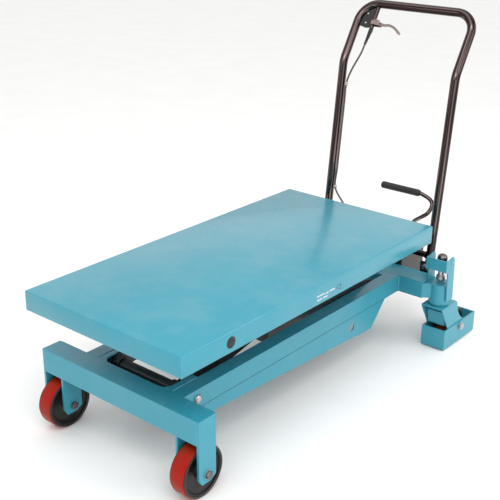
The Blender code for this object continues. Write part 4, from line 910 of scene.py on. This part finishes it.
@dataclass
class Castor:
    """Swivel castor, and the brake plunger above it."""

    side: Side
    swivel_x: float = 1.032
    swivel_y: float = 0.27
    housing_radius: float = 0.029
    yoke_face: float = 0.032
    rivet_x: float = 1.03
    rivet_z: float = 0.2715

    def build(self) -> None:
        """Make the housing, the fork, the wheel and the brake."""
        word = self.side.word
        carry_over(f"castor_housing_{word}", f"swivel_housing_{word}", 0.0009)
        carry_over(f"castor_fork_{word}", f"swivel_fork_{word}", 0.0009)
        carry_over(f"brake_shoe_{word}", f"brake_pad_{word}", 0.0006)
        Wheel(f"castor_wheel_{word}", f"castor_wheel_{word}", AMBER).build()
        AxleBolt(f"castor_axle_{word}", f"castor_bolt_{word}", self.side, ZINC).build()
        self.plunger()
        self.housing_details()

    def plunger(self) -> None:
        """Domed head on a bright rod with a collar."""
        node = f"brake_plunger_{self.side.word}"
        middle, size = extent(node)
        low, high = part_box(node)
        height, foot = size.z, (middle.x, middle.y, low[2])
        head = [(0, height), (0.0045, height - 0.0004), (0.009, height - 0.0022), (0.0126, height - 0.0055),
                (0.0141, height - 0.0095), (0.0145, height - 0.0125), (0.0145, height - 0.029),
                (0.0134, height - 0.0315), (0.0102, height - 0.0325), (0, height - 0.0325)]
        turned(f"brake_head_{self.side.word}", head, (0, 0, 1), foot, DARK_STEEL,
               f"brake_plunger_{self.side.word}", 64, replaced=[node])
        rod = [(0, height - 0.032), (0.0088, height - 0.032), (0.0088, 0.016), (0.0102, 0.015),
               (0.0105, 0.013), (0.0126, 0.0122), (0.013, 0.0112), (0.013, 0.001), (0.0124, 0.0), (0, 0)]
        turned(f"brake_rod_{self.side.word}", rod, (0, 0, 1), foot, ZINC, f"brake_plunger_{self.side.word}",
               56)

    def housing_details(self) -> None:
        """Grease lip round the housing's foot and rivet heads on the yoke."""
        word, sign = self.side.word, self.side.value
        centre, around = (at(self.swivel_x, 0, 0).x, sign * self.swivel_y), self.housing_radius
        for part, height, foot in (("lip", 0.003, 0.143), ("rim", 0.0022, 0.199)):
            ring = [(around + 0.0002, height), (around + 0.0007, height - 0.0004),
                    (around + 0.0007, 0.0004), (around + 0.0002, 0.0), (around - 0.0005, 0.0),
                    (around - 0.0005, height)]
            turned(f"housing_{part}_{word}", ring, (0, 0, 1), (*centre, foot), PAINT, "base", 72, ring=True)
        rivet = [(0, 0.0029), (0.0026, 0.0026), (0.0044, 0.0016), (0.0052, 0.0002), (0.0052, -0.001),
                 (0, -0.001)]
        seat = (at(self.rivet_x, 0, 0).x, sign * (self.swivel_y + self.yoke_face), self.rivet_z)
        turned(f"yoke_rivet_{word}", rivet, (0, sign, 0), seat, ZINC, "base", 36)


@dataclass
class Scissor:
    """Arms, cross tubes and rollers."""

    def build(self) -> None:
        """Carry the arms over and round what turns."""
        for side in Side:
            word = side.word
            carry_over(f"inner_arm_{word}", f"inner_link_{word}", 0.0008)
            carry_over(f"outer_arm_{word}", f"outer_link_{word}", 0.0008)
            for level in ("base", "deck"):
                self.roller(f"{level}_roller_{word}", side)
        for name in ("inner_front", "rod_cross", "inner_rear", "outer_front", "outer_rear"):
            self.tube(f"{name}_tube")

    def tube(self, node: str) -> None:
        """Round cross tube, with its end collars where it has them."""
        middle, size = extent(node)
        half = size.y / 2
        radius = 0.016 if size.x > 0.03 else size.x / 2
        profile = [(0, half), (radius, half), (radius, -half), (0, -half)]
        if size.x > 0.036:
            collar = size.x / 2
            profile = [(0, half), (collar - 0.001, half), (collar, half - 0.001), (collar, half - 0.013),
                       (collar - 0.001, half - 0.014), (radius, half - 0.014), (radius, 0.014 - half),
                       (collar - 0.001, 0.014 - half), (collar, 0.013 - half), (collar, 0.001 - half),
                       (collar - 0.001, -half), (0, -half)]
        turned(f"{node}_bar", profile, (0, 1, 0), middle, BLACK, BODY_OF_NODE[node], replaced=[node])

    def roller(self, node: str, side: Side) -> None:
        """Track roller with rounded shoulders."""
        low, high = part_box(node)
        middle, size = extent(node)
        sign = side.value
        outer, inner = (low[1], high[1]) if sign < 0 else (high[1], low[1])
        hub = abs(outer - inner) - 0.024
        radius, width = 0.0202, 0.024
        profile = [(0.0073, 0.0), (0.0185, 0.0), (radius - 0.0004, -0.0008), (radius, -0.002),
                   (radius, 0.002 - width), (radius - 0.0004, 0.0008 - width), (0.0185, -width),
                   (0.0118, -width), (0.0118, -width - hub), (0.0073, -width - hub)]
        centre = (middle.x, outer, (low[2] + high[2]) / 2)
        turned(f"{node}_wheel", profile, (0, sign, 0), centre, DARK_STEEL, BODY_OF_NODE[node], 56,
               ring=True, replaced=[node])


@dataclass
class Hydraulics:
    """Cylinder, pump block, piston and pedal."""

    pedal_pivot: tuple[float, float] = (1.145, 0.2505)
    pump_y: float = -0.08
    bar_radius: float = 0.0065
    grip_x: float = 1.31
    grip_z: float = 0.3435

    def build(self) -> None:
        """Make the hydraulic parts."""
        carry_over("cylinder_barrel", "lift_barrel", 0.001)
        carry_over("cylinder_rod", "lift_rod", 0.0005)
        carry_over("pump_body", "pump_block", 0.0015)
        carry_over("release_valve_lever", "valve_arm", 0.0006)
        self.piston()
        self.pedal()
        self.block_details()

    def piston(self) -> None:
        """Pump piston with a rounded tip."""
        middle, size = extent("pump_piston")
        low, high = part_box("pump_piston")
        radius, length = size.x / 2, size.z
        profile = [(0, 0), (radius * 0.6, -0.0003), (radius - 0.0006, -0.0014), (radius, -0.0028),
                   (radius, -length), (0, -length)]
        turned("pump_plunger", profile, (0, 0, 1), (middle.x, middle.y, high[2]), ZINC, "piston", 40,
               replaced=["pump_piston"])

    def pedal(self) -> None:
        """Bent pedal bar with an eye, and its pipped rubber grip."""
        (px, pz), y = self.pedal_pivot, self.pump_y
        start = -0.028
        gx, gz = self.grip_x, self.grip_z
        knots = [at(px, y, pz), at(px + 0.03, y, pz + 0.0184), at(px + 0.05, y + 0.005, pz + 0.026),
                 at(px + 0.077, y + 0.016, pz + 0.0325), at(gx - 0.049, y + 0.017, gz - 0.0595),
                 at(gx - 0.025, y + 0.008, gz - 0.0515), at(gx - 0.012, y + 0.002, gz - 0.0355),
                 at(gx - 0.003, y + 0.005, gz - 0.0215), at(gx + 0.002, y + 0.02, gz - 0.0105),
                 at(gx, start - 0.004, gz)]
        path = curve_through(knots, 8)[3:] + [at(self.grip_x, start + 0.01, self.grip_z)]
        bar = sweep(path, [self.bar_radius], 28)
        eye = [(0.0054, 0.0106), (0.0104, 0.0106), (0.011, 0.01), (0.011, -0.01), (0.0104, -0.0106),
               (0.0054, -0.0106)]
        ring = lathe(eye, (0, 1, 0), at(px, y, pz), 44, ring=True)
        place("pedal_bar", merged(bar, ring), CHROME_PAINTED_REFLECTION, "pedal", ["pedal_lever"], smooth_deg=50)
        low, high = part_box("pedal_grip")
        length, radius = high[1] - low[1], (high[0] - low[0]) / 2
        sleeve = [(0, length), (radius - 0.004, length - 0.0003), (radius - 0.0015, length - 0.0014),
                  (radius - 0.0003, length - 0.0035), (radius, length - 0.006), (radius - 0.0003, 0.0115)]
        sleeve += [(radius, 0.0095), (radius, 0.007), (radius - 0.0012, 0.006), (radius - 0.0015, 0.0012),
                   (radius - 0.0024, 0), (0.0069, 0), (0.0069, 0.0103), (0, 0.0103)]
        turned("pedal_sleeve", sleeve, (0, 1, 0), (at(self.grip_x, 0, 0).x, low[1], self.grip_z),
               GRIP_RUBBER, "pedal", replaced=["pedal_grip"])

    def block_details(self) -> None:
        """Spring round the piston, cap screws and a plug."""
        middle = extent("pump_piston")[0]
        coil = []
        for step in range(90):
            angle = math.tau * step / 18
            coil.append(Vector((middle.x + 0.0089 * math.cos(angle), middle.y + 0.0089 * math.sin(angle),
                                0.2257 + 0.012 * step / 89)))
        place("piston_spring", sweep(coil, [0.0009], 8), DARK_STEEL, "base", smooth_deg=80)
        for index, (x, y) in enumerate(((1.075, -0.112), (1.075, -0.048), (1.172, -0.112), (1.172, -0.048))):
            screw = [(0, 0.0032), (0.0024, 0.0032), (0.0026, 0.0042), (0.0044, 0.0042), (0.0048, 0.0038),
                     (0.0048, 0), (0, 0)]
            turned(f"pump_screw_{index}", screw, (0, 0, 1), at(x, y, 0.2245), DARK_STEEL, "base", 28)
        plug = hexagon(0.016, 0.006, (1, 0, 0), at(1.1851, -0.055, 0.1785))
        place("pump_plug", plug, ZINC, "base", edge=0.0002)


@dataclass
class PushHandle:
    """Bent tube with its brace, brackets, bolts, lever, boot and cable."""

    half_width: float = 0.187
    radius: float = 0.0125
    foot: tuple[float, float] = (1.1091, 0.1785)
    kink: tuple[float, float] = (1.1714, 0.753)
    top: tuple[float, float] = (1.2662, 0.9111)
    corner_radius: float = 0.06
    kink_radius: float = 0.07
    lever_s: float = 0.122
    lever_y: float = 0.1285
    stem_y: float = 0.1305
    bolt_z: float = 0.2065

    def build(self) -> None:
        """Make the handle and what it carries."""
        self.tube()
        self.brace()
        for side in Side:
            carry_over(f"handle_bracket_{side.word}", f"leg_bracket_{side.word}", 0.0008)
            self.bolt(side)
        self.lever_bracket()
        self.hand_lever()
        self.cable()

    def upper(self, s: float, y: float, lift: float = 0.0) -> Vector:
        """A point of the upper handle's plane, s along it from the kink and lifted behind it."""
        run = Vector((self.top[0] - self.kink[0], 0, self.top[1] - self.kink[1])).normalized()
        return at(self.kink[0], y, self.kink[1]) + run * s + Vector((run.z, 0, -run.x)) * lift

    def leg_x(self, z: float) -> float:
        """X of a leg's middle at a height, from the deck's front edge."""
        slope = (self.kink[0] - self.foot[0]) / (self.kink[1] - self.foot[1])
        return self.foot[0] + (z - self.foot[1]) * slope

    def tube(self) -> None:
        """One chrome tube, bent four times."""
        y = self.half_width
        runs = ((-1, (self.foot, self.kink, self.top)), (1, (self.top, self.kink, self.foot)))
        corners = [at(x, side * y, z) for side, run in runs for x, z in run]
        radii = (self.kink_radius, self.corner_radius, self.corner_radius, self.kink_radius)
        place("handle_tube", sweep(bent(corners, radii, 16), [self.radius], 48), CHROME_PAINTED_REFLECTION, "base",
              ["push_handle"], smooth_deg=50)

    def brace(self) -> None:
        """Round bar between the legs."""
        middle, size = extent("handle_brace")
        half = size.y / 2
        profile = [(0, half), (0.009, half), (0.009, -half), (0, -half)]
        turned("leg_brace", profile, (0, 1, 0), middle, CHROME_PAINTED_REFLECTION, "base", 36, replaced=["handle_brace"])
        for side in Side:
            ring = [(0.0092, 0), (0.0112, 0.0004), (0.0105, 0.0022), (0.0092, 0.0034)]
            seat = (middle.x, side.value * (half - 0.0002), middle.z)
            turned(f"brace_weld_{side.word}", ring, (0, -side.value, 0), seat, CHROME_PAINTED_REFLECTION, "base", 36,
                   ring=True)

    def bolt(self, side: Side) -> None:
        """Six-sided bolt head and washer in front of a leg."""
        low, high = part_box(f"handle_bracket_{side.word}")
        y, z = side.value * self.half_width, self.bolt_z
        face = high[0] - 0.004
        head = hexagon(0.016, 0.0066, (-1, 0, 0), (face - 0.0016, y, z))
        place(f"leg_bolt_{side.word}", head, ZINC, "base", edge=0.0003)
        ring = [(0, 0.0015), (0.0104, 0.0015), (0.0108, 0.0011), (0.0108, 0.0001), (0, 0.0001)]
        turned(f"leg_washer_{side.word}", ring, (-1, 0, 0), (face, y, z), ZINC, "base", 40)

    def lever_bracket(self) -> None:
        """Black gusset with two screws, and the bright stem that the lever hangs from."""
        carry_over("lever_bracket", "lever_gusset", 0.0005)
        stem = [self.upper(0.1044, self.stem_y), self.upper(0.1715, self.stem_y)]
        place("lever_stem", sweep(stem, [0.0058], 32), CHROME_PAINTED_REFLECTION, "base")
        for index, (s, y) in enumerate(((0.15, 0.158), (0.121, 0.156))):
            screw = [(0, 0.0024), (0.0022, 0.0022), (0.0034, 0.0014), (0.0038, 0.0002), (0.0038, -0.0008),
                     (0, -0.0008)]
            outward = self.upper(0, 0, -1) - self.upper(0, 0, 0)
            turned(f"gusset_screw_{index}", screw, outward, self.upper(s, y, -0.002), ZINC, "base", 24)

    def hand_lever(self) -> None:
        """Cast lever with a knuckle, curved for the fingers."""
        s, y = self.lever_s, self.lever_y
        knots = [self.upper(s + 0.004, y - 0.012), self.upper(s - 0.002, y - 0.034),
                 self.upper(s - 0.0005, y - 0.054), self.upper(s - 0.007, y - 0.074),
                 self.upper(s - 0.0235, y - 0.0975)]
        path = curve_through(knots, 7)
        count = len(path) - 1
        radii = []
        for index in range(count + 1):
            along = index / count
            taper = 0.006 - 0.0022 * along + 0.0012 * max(0.0, (along - 0.82) / 0.18)
            radii.append(taper * (0.55 if index == count else 1.0))
        blade = sweep(path, radii, 24, flatten=0.78)
        outward = self.upper(0, 0, 1) - self.upper(0, 0, 0)
        shapes = [blade]
        for lift in (-0.0093, 0.0093):
            cheek = [(s - 0.006, y + 0.004), (s + 0.007, y + 0.004), (s + 0.01, y - 0.014),
                     (s + 0.007, y - 0.0235), (s - 0.006, y - 0.0235)]
            outline = [self.upper(a, b, lift - 0.0015) for a, b in cheek]
            shapes.append(slab(outline, outward * 0.003))
        shapes.append(sweep([self.upper(s + 0.002, y - 0.017, -0.01),
                             self.upper(s + 0.002, y - 0.017, 0.01)], [0.0052], 24))
        place("release_lever", merged(*shapes), ALLOY, "hand_lever", ["hand_lever"], edge=0.0006)
        pin = sweep([self.upper(s, y, -0.0118), self.upper(s, y, 0.0118)], [0.0026], 24)
        place("lever_pin", pin, ZINC, "base")

    def cable(self) -> None:
        """Boot, sheathed cable, two clips and the bare wire to the valve."""
        top, end = self.upper(0.1035, self.stem_y), self.upper(0.055, self.stem_y + 0.0035)
        drop = end - top
        length = drop.length
        profile = [(0.0031, 0), (0.0058, 0), (0.0062, -0.0008), (0.0062, -0.011), (0.0056, -0.0125)]
        for step in range(6):
            start = 0.014 + step * 0.0042
            swell = 0.0058 - step * 0.00028
            profile += [(swell - 0.0009, -start), (swell, -start - 0.0014), (swell, -start - 0.0026),
                        (swell - 0.0009, -start - 0.004)]
        profile += [(0.004, -length + 0.01), (0.0036, -length), (0.0031, -length)]
        turned("cable_gaiter", profile, -drop, top, RUBBER, "base", 40, ring=True, replaced=["cable_boot"])
        clip_y = self.half_width - self.radius - 0.0009 - 0.0075
        down = drop.normalized()
        valve = at(1.152, -0.031, 0.2055)
        knots = [top + drop * 0.35, end, end + down * 0.03,
                 at(self.leg_x(0.7235) + 0.003, clip_y - 0.008, 0.7235)]
        knots += [at(self.leg_x(z) - 0.004, clip_y, z) for z in (0.6845, 0.6285, 0.5285, 0.4285, 0.3685)]
        knots += [at(1.1135, 0.131, 0.3335), at(1.118, 0.098, 0.3005), at(1.13, 0.045, 0.2785),
                  at(1.146, 0.002, 0.2585), valve + Vector((0.002, 0.01, 0.026)), valve]
        path = curve_through(knots, 10)
        place("release_cable", sweep(path, [0.0028], 16), SHEATH, "base", ["control_cable"], smooth_deg=60)
        for word, z in (("upper", 0.6845), ("lower", 0.3685)):
            ring = [(0.0031, 0.0052), (0.005, 0.0052), (0.0056, 0.0044), (0.0056, -0.0044),
                    (0.005, -0.0052), (0.0031, -0.0052)]
            run = Vector((self.kink[0] - self.foot[0], 0, self.kink[1] - self.foot[1])).normalized()
            turned(f"cable_clip_{word}", ring, run, at(self.leg_x(z) - 0.004, clip_y, z), ZINC, "base", 32,
                   ring=True)
        place("valve_wire",
              sweep([valve, at(1.161, -0.031, 0.1965), at(1.1645, -0.031, 0.1835)], [0.0009], 12), ZINC,
              "base")


@dataclass
class Studio:
    """Pale floor, soft lights and the camera."""

    camera_at: Point = (-1.21413, -1.42678, 1.28797)
    yaw_deg: float = 39.553
    pitch_deg: float = -21.929
    roll_deg: float = 0.632
    lens: float = 68.72

    def build(self) -> None:
        """Set up the studio."""
        self.floor()
        self.world()
        self.light("key_light", (-1.6, -1.2, 3.0), (0.2, 0.0, 0.2), 2.6, 54.0)
        self.light("side_light", (1.2, -3.2, 1.9), (0.3, 0.0, 0.4), 1.6, 34.0)
        self.camera()

    def floor(self) -> None:
        """Wide pale floor."""
        bm = bmesh.new()
        bmesh.ops.create_grid(bm, x_segments=1, y_segments=1, size=30.0)
        mesh = bpy.data.meshes.new("studio_floor")
        bm.to_mesh(mesh)
        bm.free()
        floor = bpy.data.objects.new("studio_floor", mesh)
        bpy.context.scene.collection.objects.link(floor)
        made = Finish("pale_floor", (0.93, 0.93, 0.925), (0.95, 0.95, 0.945), (0.8, 0.9), grain=30.0,
                      bump=0.0).material()
        mesh.materials.append(made)

    def world(self) -> None:
        """Even white surroundings."""
        world = bpy.data.worlds.new("studio_world")
        bpy.context.scene.world = world
        world.use_nodes = True
        background = world.node_tree.nodes["Background"]
        background.inputs["Color"].default_value = (1.0, 0.995, 0.985, 1.0)
        background.inputs["Strength"].default_value = 0.96
        bpy.context.scene.view_settings.view_transform = "Standard"

    def light(self, name: str, where: Point, aim: Point, size: float, power: float) -> None:
        """A square soft light that points at a place.

        Args:
            name: the light's name.
            where: its place.
            aim: the point that it faces.
            size: its side.
            power: watts.
        """
        data = bpy.data.lights.new(name, "AREA")
        data.shape = "SQUARE"
        data.size = size
        data.energy = power
        lamp = bpy.data.objects.new(name, data)
        bpy.context.scene.collection.objects.link(lamp)
        lamp.location = where
        lamp.rotation_euler = (Vector(aim) - Vector(where)).to_track_quat("-Z", "Y").to_euler()

    def camera(self) -> None:
        """Camera above the front right corner."""
        data = bpy.data.cameras.new("studio_camera")
        data.lens = self.lens
        data.sensor_width = 36.0
        camera = bpy.data.objects.new("studio_camera", data)
        bpy.context.scene.collection.objects.link(camera)
        yaw, pitch = math.radians(self.yaw_deg), math.radians(self.pitch_deg)
        ahead = Vector((math.cos(pitch) * math.cos(yaw), math.cos(pitch) * math.sin(yaw), math.sin(pitch)))
        right = ahead.cross(Vector((0, 0, 1))).normalized()
        up = right.cross(ahead)
        level = Matrix((right, up, -ahead)).transposed().to_4x4()
        camera.matrix_world = Matrix.Translation(at(*self.camera_at)) @ level @ Matrix.Rotation(
            math.radians(self.roll_deg), 4, "Z")
        bpy.context.scene.camera = camera


def main() -> None:
    """Build every sub-assembly, then the studio."""
    Deck().build()
    BaseFrame().build()
    Scissor().build()
    Hydraulics().build()
    PushHandle().build()
    for side in Side:
        word = side.word
        Wheel(f"front_wheel_{word}", f"front_wheel_{word}", CRIMSON).build()
        AxleBolt(f"front_axle_{word}", f"front_bolt_{word}", side).build()
        Castor(side).build()
    Studio().build()


if __name__ == "__main__":
    main()
